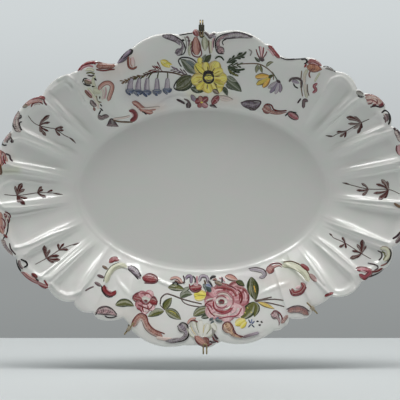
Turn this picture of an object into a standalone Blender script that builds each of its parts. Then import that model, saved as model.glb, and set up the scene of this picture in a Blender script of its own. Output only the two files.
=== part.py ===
"""A scalloped oval china serving platter, clipped in its sprung wire plate hanger.

The platter stands upright, front towards -Y. Outline and hanger are laid out in
millimetres about the platter's centre, with Y = 0 on the foot ring's resting face.
The model's origin is the middle of the hanging eye, on the back of the hanger.
"""

import math

import bmesh
import bpy
from mathutils import Vector

MM = 0.001

# Oval well and foot ring: half width, half height
WELL = (125.5, 82.5)
FOOT_OUTER = (116.0, 75.0)
FOOT_OUTER_EDGE = (114.5, 73.5)
FOOT_INNER_EDGE = (107.5, 66.5)
FOOT_INNER = (106.0, 65.0)

# Heights above the foot ring's resting face
FOOT_HEIGHT = 4.0
WALL = 4.5
RIM_RISE = 31.0
RISE_POWER = 1.7  # above 1, the rim climbs steeply off the well and flattens outwards
LIP_INSET = 0.8

# The spine that the flutes point at: a line across the middle of the well
SPINE_HALF = 65.0
SPINE_REACH = 90.0

# Flutes between these directions from the spine, in degrees from +X
RIGHT_RIBS = (-56.5, -43.6, -25.8, -7.8, 11.1, 26.1, 44.8, 57.5)
LEFT_RIBS = (120.7, 137.0, 155.6, 169.9, 188.1, 208.1, 225.4, 238.6)
FLUTE_DEPTH = 2.2

# Scalloped rim, clockwise from the crest's left cusp: x, z and how far the arc
# to the next point bulges outwards
RIM = (
    (-24.0, 153.8, 0.8),
    (-10.5, 156.0, 2.2),
    (-4.0, 157.6, 0.3),
    (1.0, 157.8, 0.5),
    (4.4, 157.0, 0.0),
    (6.8, 154.3, 0.0),
    (8.8, 156.0, 1.0),
    (14.0, 155.7, 7.0),
    (62.0, 144.8, 0.8),
    (69.5, 142.5, -2.2),
    (84.0, 130.0, -0.6),
    (104.0, 130.8, 2.6),
    (119.5, 122.3, 1.8),
    (132.0, 117.3, 5.5),
    (154.5, 98.8, 1.0),
    (161.0, 95.0, 3.0),
    (181.5, 84.5, 0.6),
    (182.5, 79.0, 3.2),
    (188.0, 62.5, 2.2),
    (200.0, 50.0, 2.5),
    (205.0, 22.0, 5.0),
    (205.0, -20.0, 2.0),
    (200.0, -50.0, 2.0),
    (189.0, -59.5, 2.5),
    (186.5, -77.0, 0.5),
    (181.0, -80.5, 2.0),
    (165.5, -89.5, 0.8),
    (159.0, -93.5, 6.5),
    (128.0, -108.5, 1.5),
    (109.5, -119.5, 2.0),
    (104.0, -130.0, 1.0),
    (86.0, -130.5, 1.8),
    (81.5, -138.5, 1.5),
    (71.0, -142.8, 7.3),
    (18.0, -153.6, 0.4),
    (13.0, -156.0, 3.2),
    (-3.0, -157.3, 0.2),
    (-20.0, -157.5, 7.3),
    (-71.0, -143.0, -0.8),
    (-80.0, -130.0, 1.6),
    (-100.0, -132.3, 2.2),
    (-110.0, -124.5, 2.5),
    (-127.0, -119.5, 1.2),
    (-128.5, -113.5, 5.2),
    (-154.5, -101.0, 1.5),
    (-165.0, -96.3, 1.6),
    (-182.0, -84.5, 1.8),
    (-186.5, -70.0, 3.0),
    (-203.0, -50.0, 2.0),
    (-206.0, -20.0, 5.0),
    (-206.0, 20.0, 2.0),
    (-203.0, 40.0, 1.6),
    (-191.0, 57.8, 2.8),
    (-182.0, 80.3, 2.6),
    (-160.5, 92.8, 4.8),
    (-133.0, 114.7, 0.5),
    (-126.0, 117.0, 4.0),
    (-106.0, 127.3, -1.4),
    (-86.0, 124.6, 1.8),
    (-71.0, 140.3, 6.2),
)
RIM_STEP = 8.0
RIM_RINGS = (0.05, 0.13, 0.24, 0.38, 0.54, 0.72, 0.88, 1.0)
BACK_RINGS = (0.86, 0.64, 0.42, 0.24, 0.1, 0.0)

# Hanger: wires lie against the foot ring and reach forward round the rim
WIRE_R = 0.8
HANGER_Y = 1.2
BACK_Y = -32.0
FRONT_Y = -41.9
TOP_X = -1.5
EYE_Z = 57.0
HANG_POINT = (TOP_X, HANGER_Y, EYE_Z)

# Claws: where the wire turns forward and its tip on the front. The top and bottom
# ones are a doubled wire, with half its spread; the side ones are the wire's ends
TOP_CLAW = ((TOP_X, 163.0), (TOP_X, 151.5), 1.2)
BOTTOM_CLAW = ((2.0, -161.0), (2.0, -156.0), 1.7)
LEFT_CLAW = ((-75.5, -142.5), (-69.0, -134.5))
RIGHT_CLAW = ((111.0, -122.0), (103.8, -114.5))
CLAW_STEPS = 6
TURN_STEPS = 5

# Sleeves and ferrule: tubes round the wire, flattened where it is doubled
TUBE_GAP = 0.3
SLEEVE_WALL = 0.6
SIDE_SLEEVE_SPREAD = 0.2
TOP_SLEEVE_LENGTH = 6.0
SIDE_SLEEVE_LENGTH = 4.5
FERRULE_WALL = 0.8
FERRULE_LENGTH = 5.0
FERRULE_RUN = 6.4  # how far the wires run straight, through the ferrule and past its ends
FERRULE_Z = 43.0
FERRULE_SPREAD = 1.5

# Springs, each hooked between an upper eye and a lower bight
SPRING_X = 48.0
SPRING_TOP = 18.0
SPRING_BOTTOM = -12.0
SPRING_R = 2.75
SPRING_WIRE_R = 0.45
SPRING_TURNS = 9
TURN_POINTS = 8
HOOK_R = 2.2
BIGHT_R = 2.5


def clear_scene():
    for thing in list(bpy.data.objects):
        bpy.data.objects.remove(thing, do_unlink=True)


def world(point):
    """Millimetres about the platter's centre to metres about the hanging eye."""
    return (Vector(point) - Vector(HANG_POINT)) * MM


def material(name, colour, roughness, metallic=0.0):
    made = bpy.data.materials.new(name)
    made.use_nodes = True
    shader = made.node_tree.nodes["Principled BSDF"]
    shader.inputs["Base Color"].default_value = (*colour, 1.0)
    shader.inputs["Roughness"].default_value = roughness
    shader.inputs["Metallic"].default_value = metallic
    return made


def add_object(name, data, made_of, collection):
    thing = bpy.data.objects.new(name, data)
    data.materials.append(made_of)
    collection.objects.link(thing)
    return thing


# Platter


def arc(start, end, bulge, step):
    """Points from start towards end, end left out, along an arc that bulges to the left."""
    along = end - start
    count = max(1, round(along.length / step))
    left = Vector((-along.y, along.x)).normalized()
    return [
        start + along * k / count + left * bulge * 4 * (k / count) * (1 - k / count)
        for k in range(count)
    ]


def rim_outline():
    points = []
    for (x, z, bulge), (next_x, next_z, _) in zip(RIM, RIM[1:] + RIM[:1]):
        points += arc(Vector((x, z)), Vector((next_x, next_z)), bulge, RIM_STEP)
    return points


def spine_point(rim_point):
    return Vector((SPINE_HALF * math.tanh(rim_point.x / SPINE_REACH), 0.0))


def oval_point(rim_point, oval):
    """Where the line from the spine to a rim point crosses an oval about the centre."""
    start = spine_point(rim_point)
    step = rim_point - start
    a = (step.x / oval[0]) ** 2 + (step.y / oval[1]) ** 2
    b = 2 * (start.x * step.x / oval[0] ** 2 + start.y * step.y / oval[1] ** 2)
    c = (start.x / oval[0]) ** 2 + (start.y / oval[1]) ** 2 - 1
    reach = (-b + math.sqrt(b * b - 4 * a * c)) / (2 * a)
    return start + step * reach


def flute_depth(rim_point, out):
    """How far the front is scooped back between two ribs, at a share of the way out."""
    line = rim_point - spine_point(rim_point)
    turn = math.degrees(math.atan2(line.y, line.x))
    for ribs in (RIGHT_RIBS, LEFT_RIBS):
        for low, high in zip(ribs, ribs[1:]):
            for angle in (turn, turn + 360):
                if low < angle < high:
                    across = math.sin(math.pi * (angle - low) / (high - low))
                    return FLUTE_DEPTH * across * math.sin(math.pi * min(1.0, 1.15 * out) / 2)
    return 0.0


def front_y(rim_point, out):
    rise = RIM_RISE * (1 - (1 - out) ** RISE_POWER)
    return -(FOOT_HEIGHT + WALL + rise) + flute_depth(rim_point, out)


def rim_ring(outline, out, inset=0.0, back=0.0):
    """A closed section of the rim, a share of the way from the well's edge to the outline."""
    ring = []
    for point in outline:
        inner = oval_point(point, WELL)
        place = inner.lerp(point, out) - (point - inner).normalized() * inset
        ring.append((place.x, front_y(point, out) + back, place.y))
    return ring


def oval_ring(outline, oval, y):
    ring = [oval_point(point, oval) for point in outline]
    return [(place.x, y, place.y) for place in ring]


def platter(collection, glaze):
    """A closed loft: well, rim, lip, back of the rim and foot ring, with flat middles."""
    outline = rim_outline()
    floor_back = -FOOT_HEIGHT
    rings = [oval_ring(outline, WELL, floor_back - WALL)]
    rings += [rim_ring(outline, out) for out in RIM_RINGS[:-1]]
    rings += [rim_ring(outline, 1.0, inset=LIP_INSET)]
    rings += [rim_ring(outline, 1.0, back=0.3 * WALL)]
    rings += [rim_ring(outline, 1.0, back=0.7 * WALL)]
    rings += [rim_ring(outline, 1.0, inset=LIP_INSET, back=WALL)]
    rings += [rim_ring(outline, out, back=WALL) for out in BACK_RINGS]
    rings += [oval_ring(outline, FOOT_OUTER, floor_back)]
    rings += [oval_ring(outline, FOOT_OUTER_EDGE, 0.0)]
    rings += [oval_ring(outline, FOOT_INNER_EDGE, 0.0)]
    rings += [oval_ring(outline, FOOT_INNER, floor_back)]

    mesh = bmesh.new()
    loops = [[mesh.verts.new(world(p)) for p in ring] for ring in rings]
    count = len(outline)
    for inner, outer in zip(loops, loops[1:]):
        for k in range(count):
            after = (k + 1) % count
            mesh.faces.new((inner[k], inner[after], outer[after], outer[k]))
    mesh.faces.new(loops[0])
    mesh.faces.new(loops[-1])
    bmesh.ops.recalc_face_normals(mesh, faces=mesh.faces)
    data = bpy.data.meshes.new("platter")
    mesh.to_mesh(data)
    mesh.free()
    data.shade_smooth()
    data.set_sharp_from_angle(angle=math.radians(35))
    return add_object("platter", data, glaze, collection)


# Hanger


def wire(name, points, radius, made_of, collection):
    data = bpy.data.curves.new(name, "CURVE")
    data.dimensions = "3D"
    data.bevel_depth = radius * MM
    data.bevel_resolution = 2
    data.use_fill_caps = True
    spline = data.splines.new("POLY")
    spline.points.add(len(points) - 1)
    for slot, point in zip(spline.points, points):
        slot.co = (*world(point), 1.0)
    return add_object(name, data, made_of, collection)


def claw_points(claw):
    """A doubled wire from behind the rim, over its edge, down the front and back again."""
    heel, tip, spread = Vector(claw[0]), Vector(claw[1]), claw[2]
    inward = (tip - heel).normalized()
    across = Vector((-inward.y, inward.x))
    middle_y = (BACK_Y + FRONT_Y) / 2
    radius = (BACK_Y - FRONT_Y) / 2
    points = []
    for k in range(CLAW_STEPS + 1):
        turn = math.pi * k / CLAW_STEPS
        place = heel + across * spread - inward * radius * math.sin(turn)
        points.append((place.x, middle_y + radius * math.cos(turn), place.y))
    for k in range(TURN_STEPS + 1):
        turn = math.pi * k / TURN_STEPS
        place = tip + across * spread * math.cos(turn) + inward * spread * (math.sin(turn) - 1)
        points.append((place.x, FRONT_Y, place.y))
    for k in range(CLAW_STEPS + 1):
        turn = math.pi * (1 - k / CLAW_STEPS)
        place = heel - across * spread - inward * radius * math.sin(turn)
        points.append((place.x, middle_y + radius * math.cos(turn), place.y))
    return points


def hook_points(claw):
    """A wire's end: from its tip on the front, over the rim's edge to behind it."""
    heel, tip = Vector(claw[0]), Vector(claw[1])
    inward = (tip - heel).normalized()
    middle_y = (BACK_Y + FRONT_Y) / 2
    radius = (BACK_Y - FRONT_Y) / 2
    points = [(tip.x, FRONT_Y, tip.y)]
    for k in range(CLAW_STEPS + 1):
        turn = math.pi * (1 - k / CLAW_STEPS)
        place = heel - inward * radius * math.sin(turn)
        points.append((place.x, middle_y + radius * math.cos(turn), place.y))
    return points


def bight(x, z, side, opening):
    """Half a turn about a spring hook: it opens up (1) or down (-1), from the middle outwards."""
    points = []
    for k in range(TURN_STEPS + 1):
        turn = math.pi * k / TURN_STEPS
        reach = BIGHT_R * math.cos(turn)
        points.append((x - side * reach, HANGER_Y, z + opening * BIGHT_R * (1 - math.sin(turn))))
    return points


def upper_leg(side):
    """From behind the rim over the foot ring, round the hanging eye to a spring's hook."""
    spreads = (
        (2.0, 77.5),
        (2.0, 66.0),
        (3.6, 63.2),
        (5.3, 60.2),
        (6.0, EYE_Z),
        (5.3, 53.8),
        (3.2, 50.0),
        (FERRULE_SPREAD, FERRULE_Z + FERRULE_RUN / 2),
        (FERRULE_SPREAD, FERRULE_Z - FERRULE_RUN / 2),
    )
    points = [(TOP_X + side * spread, HANGER_Y, z) for spread, z in spreads]
    points += bight(side * SPRING_X, SPRING_TOP, side, 1)
    points.append((side * (SPRING_X + BIGHT_R - 0.6), HANGER_Y, SPRING_TOP + 2 * BIGHT_R))
    return points


def upper_wire(collection, brass):
    points = upper_leg(1)[::-1] + claw_points(TOP_CLAW) + upper_leg(-1)
    return wire("upper_wire", points, WIRE_R, brass, collection)


def lower_wire(collection, brass):
    """Left claw, left bight, bottom claw, right bight, right claw: one wire."""
    left = bight(-SPRING_X, SPRING_BOTTOM, -1, -1)[::-1]
    right = bight(SPRING_X, SPRING_BOTTOM, 1, -1)
    points = hook_points(LEFT_CLAW)
    points += [(-61.5, HANGER_Y, -70.0), (-53.0, HANGER_Y, -30.0)]
    points += left
    points += [(-2.6, HANGER_Y, -77.0), (-0.2, BACK_Y + 1.5, -155.0)]
    points += claw_points(BOTTOM_CLAW)
    points += [(4.2, BACK_Y + 1.5, -155.0), (2.6, HANGER_Y, -77.0)]
    points += right
    points += [(56.0, HANGER_Y, -30.0), (71.5, HANGER_Y, -66.0)]
    points += hook_points(RIGHT_CLAW)[::-1]
    return wire("lower_wire", points, WIRE_R, brass, collection)


def spring(name, x, collection, steel):
    """A close extension spring along Z, with a hook at each end."""
    hook = []
    for k in range(TURN_STEPS + 3):
        turn = math.radians(180 - 270 * k / (TURN_STEPS + 2))
        hook.append((HANGER_Y + HOOK_R * math.cos(turn), HOOK_R * math.sin(turn)))
    points = [(x, y, SPRING_TOP + z) for y, z in hook]
    coil_top = SPRING_TOP - HOOK_R - 1.2
    coil_bottom = SPRING_BOTTOM + HOOK_R + 1.2
    count = SPRING_TURNS * TURN_POINTS
    for k in range(count + 1):
        turn = 2 * math.pi * k / TURN_POINTS
        radius = SPRING_R * min(1.0, (k + 1) / 3, (count - k + 1) / 3)
        height = coil_top + (coil_bottom - coil_top) * k / count
        points.append((x + radius * math.cos(turn), HANGER_Y + radius * math.sin(turn), height))
    points += [(x, y, SPRING_BOTTOM - z) for y, z in hook[::-1]]
    return wire(name, points, SPRING_WIRE_R, steel, collection)


def stadium(spline, half_width, half_thickness):
    """A closed outline with two straight sides and round ends, about the origin."""
    straight = half_width - half_thickness
    steps = 6
    corners = []
    for end in (1, -1):
        for k in range(steps + 1):
            turn = math.pi * k / steps - math.pi / 2
            x = end * (straight + half_thickness * math.cos(turn))
            corners.append((x * MM, end * half_thickness * math.sin(turn) * MM))
    spline.points.add(len(corners) - 1)
    for slot, corner in zip(spline.points, corners):
        slot.co = (*corner, 0.0, 1.0)
    spline.use_cyclic_u = True


def flat_tube(name, middle, along, spread, length, wall, made_of, collection):
    """A tube round wire that runs along the XZ plane, wide enough for a spread on each side."""
    data = bpy.data.curves.new(name, "CURVE")
    data.dimensions = "2D"
    data.fill_mode = "BOTH"
    data.extrude = length / 2 * MM
    bore = WIRE_R + TUBE_GAP
    stadium(data.splines.new("POLY"), spread + bore + wall, bore + wall)
    stadium(data.splines.new("POLY"), spread + bore, bore)
    tube = add_object(name, data, made_of, collection)
    tube.location = world(middle)
    tube.rotation_euler = (math.radians(90), math.atan2(along[0], along[1]), 0.0)
    tube.rotation_euler.rotate_axis("X", math.radians(-90))
    return tube


def leg_ferrule(collection, brass):
    """The crimped tube that holds the upper wire's legs together below the hanging eye."""
    middle = (TOP_X, HANGER_Y, FERRULE_Z)
    up = (0.0, 1.0)
    size = (FERRULE_SPREAD, FERRULE_LENGTH, FERRULE_WALL)
    return flat_tube("leg_ferrule", middle, up, *size, brass, collection)


def claw_sleeve(name, claw, spread, length, collection, vinyl):
    """A soft tube over a claw's front, from its heel towards its tip."""
    heel, tip = Vector(claw[0]), Vector(claw[1])
    inward = (tip - heel).normalized()
    middle = heel + inward * (length / 2 + 0.1)
    place = (middle.x, FRONT_Y, middle.y)
    return flat_tube(name, place, inward, spread, length, SLEEVE_WALL, vinyl, collection)


def build():
    clear_scene()
    collection = bpy.data.collections.new("serving_platter")
    bpy.context.scene.collection.children.link(collection)

    glaze = material("white_glaze", (0.80, 0.80, 0.76), 0.12)
    brass = material("brassed_wire", (0.45, 0.36, 0.20), 0.38, 1.0)
    steel = material("spring_steel", (0.50, 0.50, 0.49), 0.35, 1.0)
    vinyl = material("vinyl", (0.10, 0.10, 0.07), 0.5)

    platter(collection, glaze)
    upper_wire(collection, brass)
    lower_wire(collection, brass)
    spring("left_spring", -SPRING_X, collection, steel)
    spring("right_spring", SPRING_X, collection, steel)
    leg_ferrule(collection, brass)
    top_spread = TOP_CLAW[2]
    claw_sleeve("top_claw_sleeve", TOP_CLAW, top_spread, TOP_SLEEVE_LENGTH, collection, vinyl)
    for name, claw in (("left_claw_sleeve", LEFT_CLAW), ("right_claw_sleeve", RIGHT_CLAW)):
        claw_sleeve(name, claw, SIDE_SLEEVE_SPREAD, SIDE_SLEEVE_LENGTH, collection, vinyl)


build()
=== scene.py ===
# A scalloped, scroll-edged china serving platter, hand-painted with flowers, in its
# sprung wire hanger. Lengths are in millimetres from the middle of the foot ring's
# resting face, X to the right, Y towards the wall and Z up, until world() turns them
# into metres.

import math

import bpy
import numpy as np
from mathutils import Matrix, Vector
from mathutils.bvhtree import BVHTree

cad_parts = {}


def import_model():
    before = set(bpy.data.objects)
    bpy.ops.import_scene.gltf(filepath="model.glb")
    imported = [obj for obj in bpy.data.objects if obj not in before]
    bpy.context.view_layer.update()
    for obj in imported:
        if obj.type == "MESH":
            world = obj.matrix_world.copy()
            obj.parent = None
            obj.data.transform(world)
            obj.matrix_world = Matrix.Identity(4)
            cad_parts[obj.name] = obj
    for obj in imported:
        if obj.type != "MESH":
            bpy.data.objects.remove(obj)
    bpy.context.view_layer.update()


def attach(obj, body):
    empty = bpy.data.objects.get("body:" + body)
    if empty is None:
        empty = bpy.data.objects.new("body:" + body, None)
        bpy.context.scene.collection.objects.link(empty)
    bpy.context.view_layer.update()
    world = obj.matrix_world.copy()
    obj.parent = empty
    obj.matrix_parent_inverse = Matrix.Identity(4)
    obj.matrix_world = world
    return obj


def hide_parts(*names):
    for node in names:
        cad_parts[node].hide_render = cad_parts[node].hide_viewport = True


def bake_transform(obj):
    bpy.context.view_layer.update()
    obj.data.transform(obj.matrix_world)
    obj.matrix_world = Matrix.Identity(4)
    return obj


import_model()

MM = 0.001
HANG_POINT = (-1.5, 1.2, 57.0)  # the middle of the hanging eye, which is the frame's origin
TOP_X, HANGER_Y, EYE_Z = HANG_POINT


def world(points):
    """Millimetres about the platter to metres about the hanging eye."""
    return (np.asarray(points, float) - HANG_POINT) * MM


# ---------------------------------------------------------------- outline and section

WELL = (125.5, 82.5)  # half axes of the oval well's edge
FOOT_HEIGHT = 4.0
WALL = 4.5
RIM_RISE = 31.0
RISE_POWER = 1.7
# The rim's lines fan out from a spine along X, which ends softly at this half length
SPINE_HALF = 65.0
SPINE_REACH = 90.0
# Directions of the ribs between the flutes, in degrees
RIGHT_RIBS = (-56.5, -43.6, -25.8, -7.8, 11.1, 26.1, 44.8, 57.5)
LEFT_RIBS = (120.7, 137.0, 155.6, 169.9, 188.1, 208.1, 225.4, 238.6)
# The edge: each corner, and how far the arc to the next one stands out
RIM = (
    (-24.0, 153.8, 0.8), (-10.5, 156.0, 2.2), (-4.0, 157.6, 0.3), (1.0, 157.8, 0.5),
    (4.4, 157.0, 0.0), (6.8, 154.3, 0.0), (8.8, 156.0, 1.0), (14.0, 155.7, 7.0), (62.0, 144.8, 0.8),
        (69.5, 142.5, -2.2), (84.0, 130.0, -0.6),
    (104.0, 130.8, 2.6), (119.5, 122.3, 1.8), (132.0, 117.3, 5.5), (154.5, 98.8, 1.0),
    (161.0, 95.0, 3.0), (181.5, 84.5, 0.6), (182.5, 79.0, 3.2), (188.0, 62.5, 2.2),
    (200.0, 50.0, 2.5), (205.0, 22.0, 5.0), (205.0, -20.0, 2.0), (200.0, -50.0, 2.0),
    (189.0, -59.5, 2.5), (186.5, -77.0, 0.5), (181.0, -80.5, 2.0), (165.5, -89.5, 0.8),
    (159.0, -93.5, 6.5), (128.0, -108.5, 1.5), (109.5, -119.5, 2.0), (104.0, -130.0, 1.0),
    (86.0, -130.5, 1.8), (81.5, -138.5, 1.5), (71.0, -142.8, 7.3), (18.0, -153.6, 0.4),
    (13.0, -156.0, 3.2), (-3.0, -157.3, 0.2), (-20.0, -157.5, 7.3), (-71.0, -143.0, -0.8),
    (-80.0, -130.0, 1.6), (-100.0, -132.3, 2.2), (-110.0, -124.5, 2.5),
    (-127.0, -119.5, 1.2), (-128.5, -113.5, 5.2), (-154.5, -101.0, 1.5),
    (-165.0, -96.3, 1.6), (-182.0, -84.5, 1.8), (-186.5, -70.0, 3.0),
    (-203.0, -50.0, 2.0), (-206.0, -20.0, 5.0), (-206.0, 20.0, 2.0), (-203.0, 40.0, 1.6),
    (-191.0, 57.8, 2.8), (-182.0, 80.3, 2.6), (-160.5, 92.8, 4.8), (-133.0, 114.7, 0.5),
    (-126.0, 117.0, 4.0), (-106.0, 127.3, -1.4), (-86.0, 124.6, 1.8), (-71.0, 140.3, 6.2),
)
AROUND = 1200
EDGE_STEP = 0.25  # spacing of the first, fine points along the edge
RIM_RINGS = 60
LIP = 1.9  # how far the rounded lip reaches in from the outline
LIP_STEPS = 6
FILLET = 0.03  # softness of the turn at the well's edge, as a share of the rim's width
# Evening out of the points round the well: window, its softness, least turn between two
PACE_WINDOW = 30
PACE_SOFT = 9.0
LEAST_PACE = 0.0012

# Painted and carved detail is laid out as seen from here, on the rim's own plane.
RIM_PLANE = -39.5
EYE = np.array((-3.0, RIM_PLANE - 1300.0, -12.0))


def outline():
    """AROUND points evenly along the scalloped edge."""
    fine = []
    for (x, z, bulge), (nx, nz, _) in zip(RIM, RIM[1:] + RIM[:1]):
        start, along = np.array((x, z)), np.array((nx - x, nz - z))
        length = np.hypot(*along)
        left = np.array((-along[1], along[0])) / length
        for t in np.arange(0, 1, EDGE_STEP / length):
            fine.append(start + along * t + left * bulge * 4 * t * (1 - t))
    fine = np.array(fine + fine[:1])
    run = np.concatenate(([0], np.cumsum(np.hypot(*np.diff(fine, axis=0).T))))
    at = np.arange(AROUND) * run[-1] / AROUND
    return np.stack([np.interp(at, run, fine[:, k]) for k in (0, 1)], axis=1)


def oval_points(edge):
    """Where the line from the spine to each edge point leaves the well, kept in order."""
    spine = np.stack([SPINE_HALF * np.tanh(edge[:, 0] / SPINE_REACH), np.zeros(len(edge))], 1)
    step = edge - spine
    scale = np.array(WELL)
    s, d = spine / scale, step / scale
    a, b, c = (d * d).sum(1), 2 * (s * d).sum(1), (s * s).sum(1) - 1
    inner = spine + step * ((-b + np.sqrt(b * b - 4 * a * c)) / (2 * a))[:, None]
    turn = np.unwrap(np.arctan2(inner[:, 1] / WELL[1], inner[:, 0] / WELL[0]))
    pace = np.diff(np.append(turn, turn[0] - 2 * math.pi))
    window = np.exp(-0.5 * (np.arange(-PACE_WINDOW, PACE_WINDOW + 1) / PACE_SOFT) ** 2)
    padded = np.concatenate((pace[-PACE_WINDOW:], pace, pace[:PACE_WINDOW]))
    pace = np.minimum(np.convolve(padded, window / window.sum(), "valid"), -LEAST_PACE)
    pace *= -2 * math.pi / pace.sum()
    turn = turn[0] + np.concatenate(([0], np.cumsum(pace)[:-1]))
    return np.stack([WELL[0] * np.cos(turn), WELL[1] * np.sin(turn)], 1)


def along(points, route):
    """Distance of every point to a polyline, and how far along it they come (0 to 1)."""
    route = np.asarray(route, float)
    lengths = np.hypot(*np.diff(route, axis=0).T)
    total, run = lengths.sum(), 0.0
    best = np.full(len(points), 1e9)
    share = np.zeros(len(points))
    for a, b, length in zip(route, route[1:], lengths):
        step = b - a
        t = np.clip(((points - a) @ step) / (step @ step), 0, 1)
        gap = np.hypot(*(points - a - t[:, None] * step).T)
        closer = gap < best
        best = np.where(closer, gap, best)
        share = np.where(closer, (run + t * length) / total, share)
        run += length
    return best, share


def smoothstep(low, high, value):
    """0 below low, 1 above high, with an eased run between them."""
    t = np.clip((value - low) / (high - low), 0, 1)
    return t * t * (3 - 2 * t)


def seen(points):
    """Surface points (x, y, z) to where they show on the rim's plane."""
    step = points - EYE
    return (EYE + step * ((RIM_PLANE - EYE[1]) / step[:, 1])[:, None])[:, (0, 2)]


# ---------------------------------------------------------------- carved relief

# Beads beside each rib, from the rim inwards
RIB_BEADS = (
    ((-151, 92), (-137, 74), (-124, 60)),
    ((-160, 88), (-148, 76.5), (-134, 65), (-122, 54)),
    ((-186, 63), (-175, 55.5), (-160, 48.5), (-145, 42), (-128, 36)),
    ((-191, 48), (-184, 49.3), (-170, 45), (-150, 37.5), (-131, 30)),
    ((-199, 26), (-190, 21.5), (-175, 18.5), (-150, 13.5), (-131, 10)),
    ((-204, 13), (-198, 15), (-190, 15.5), (-170, 13), (-148, 9.5), (-133, 7)),
    ((-204, -3), (-200, 3), (-190, 7.5), (-180, 6.5), (-160, 4.7), (-140, 3)),
    ((-204, -16), (-199, -19.8), (-180, -19.5), (-150, -17), (-133, -14)),
    ((-199, -28), (-180, -26), (-160, -22), (-148, -21), (-131, -18)),
    ((-189, -60), (-172, -56), (-150, -46), (-133, -40), (-120, -35)),
    ((-178, -67), (-160, -59), (-140, -49), (-124, -41)),
    ((-163, -89), (-150, -79), (-130, -62), (-114, -49)),
    ((-153, -91), (-135, -75), (-120, -62), (-110, -53)),
    ((-122, -103), (-113, -92), (-101, -74)),
    ((-125, 105), (-118, 92), (-105, 72)),
    ((125, 104), (118, 92), (105, 72)),
    ((158, 91), (150, 86), (143, 80), (128, 68), (117, 58)),
    ((153, 84), (140, 73), (131, 66), (120, 56)),
    ((181, 61), (172, 58), (155, 51.5), (140, 46), (124, 39)),
    ((188, 57), (170, 52), (150, 44), (130, 36)),
    ((203, 29), (190, 24.5), (170, 20.5), (150, 17), (133, 13)),
    ((204, 20), (190, 18.5), (170, 15), (150, 12), (134, 9)),
    ((198, -14.5), (175, -13.5), (142, -11), (131, -9)),
    ((198, -23), (185, -20), (150, -15.5), (132, -13)),
    ((184, -54.5), (150, -43), (130, -36), (118, -31)),
    ((181, -61), (155, -51), (132, -42), (118, -36)),
    ((151, -79), (135, -66), (120, -54), (110, -47)),
    ((147, -85), (130, -70), (115, -57), (105, -49)),
    ((121, -96), (110, -80), (99, -64)),
)
# Inner edges of the plain lobes beside the painted panels, and the panels' own borders
ARC_BEADS = (
    ((-152, 97), (-147, 101.5), (-143, 104), (-139, 105.5), (-135, 104), (-132, 100)),
    ((-145, 109), (-140, 112.5), (-136, 112.5), (-132, 110), (-127, 104), (-123, 98), (-119, 86)),
    ((125, 104), (129, 109), (134, 111), (138, 111), (143, 107.5), (147, 103), (150, 97)),
    ((-152, -96), (-144, -104), (-136, -107), (-128, -106), (-122, -103)),
    ((113, -93), (125, -105), (137, -109.5), (147, -106), (152, -100)),
    ((-47, 80.5), (-40, 86), (-33, 90), (-25, 91.5), (-12, 90.5)),
    ((-99, -97), (-95, -88), (-90, -80), (-84, -77), (-75, -80)),
    ((-47, -91), (-40, -95), (-28, -99)),
    ((80, -74), (93, -83), (103, -94)),
)
# Low ridges that die away at both ends, inside the lower panels
SOFT_RIDGES = (
    ((-88, -87), (-84, -95), (-77, -103), (-69, -111)),
    ((54, -107.5), (66, -102), (76, -98), (88, -94.5)),
)
# Height and half width of each kind
BEAD = (1.15, 1.25)
ARC_BEAD = (1.6, 1.25)
SOFT_RIDGE = (1.1, 2.0)
WELL_BEAD = (0.45, 1.4)
WELL_BEAD_OUT = 3.4  # how far the bead round the well stands from the well's edge
RIB_FADE = 0.9  # how much of a rib's bead is gone at its inner end
WAVER = 0.05  # the hand-made unevenness of the rim

FLUTE_DEPTH = 2.9
FLUTE_RUN = 7.5  # from a flute's edge to its full depth
FLUTE_POWER = 2.6
RIB_HALF = 3.2  # half width of the land between two flutes
FLUTE_SOFT = 2.2  # rounding where a flute's side meets its end
SPINE_LEAN = 0.3  # how much the flutes' lines close up towards the well
# How far each flute's end stays from the edge, counted in the order of its ribs
RIGHT_ENDS = (6, 9, 6, 8, 6, 9, 6)
LEFT_ENDS = (6, 9, 10, 3, 9, 9, 6)


def soft_least(a, b):
    """The smaller of two distances, with the crease between them rounded."""
    far, near = 60, -20
    a, b = np.clip(a, near, far), np.clip(b, near, far)
    return -np.log(np.exp(-a / FLUTE_SOFT) + np.exp(-b / FLUTE_SOFT)) * FLUTE_SOFT


def flute_scoop(points, out, width):
    """How far the front is hollowed inside each flute, rounded off at the flute's ends."""
    lean = 1 + SPINE_LEAN * (1 - np.clip(out, 0, 1))
    spine = SPINE_HALF * np.tanh(points[:, 0] * lean / SPINE_REACH)
    dx, dz = points[:, 0] - spine, points[:, 1]
    turn, reach = np.degrees(np.arctan2(dz, dx)), np.hypot(dx, dz)
    deep = np.zeros(len(points))
    for ribs, ends, angle in ((RIGHT_RIBS, RIGHT_ENDS, turn), (LEFT_RIBS, LEFT_ENDS, turn % 360)):
        for low, high, end in zip(ribs, ribs[1:], ends):
            inside = (angle > low) & (angle < high)
            side = np.minimum(np.radians(angle - low), np.radians(high - angle)) * reach - RIB_HALF
            gap = soft_least(side, (1 - out) * width - end)
            dish = 1 - (1 - np.clip(gap / FLUTE_RUN, 0, 1)) ** FLUTE_POWER
            scoop = FLUTE_DEPTH * dish * smoothstep(0.02, 0.4, out)
            deep = np.where(inside, np.maximum(deep, scoop), deep)
    return deep


def ridge(gap, height, half):
    """Height of a rounded ridge at a distance from its line."""
    return height * np.exp(-((gap / half) ** 2))


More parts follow.
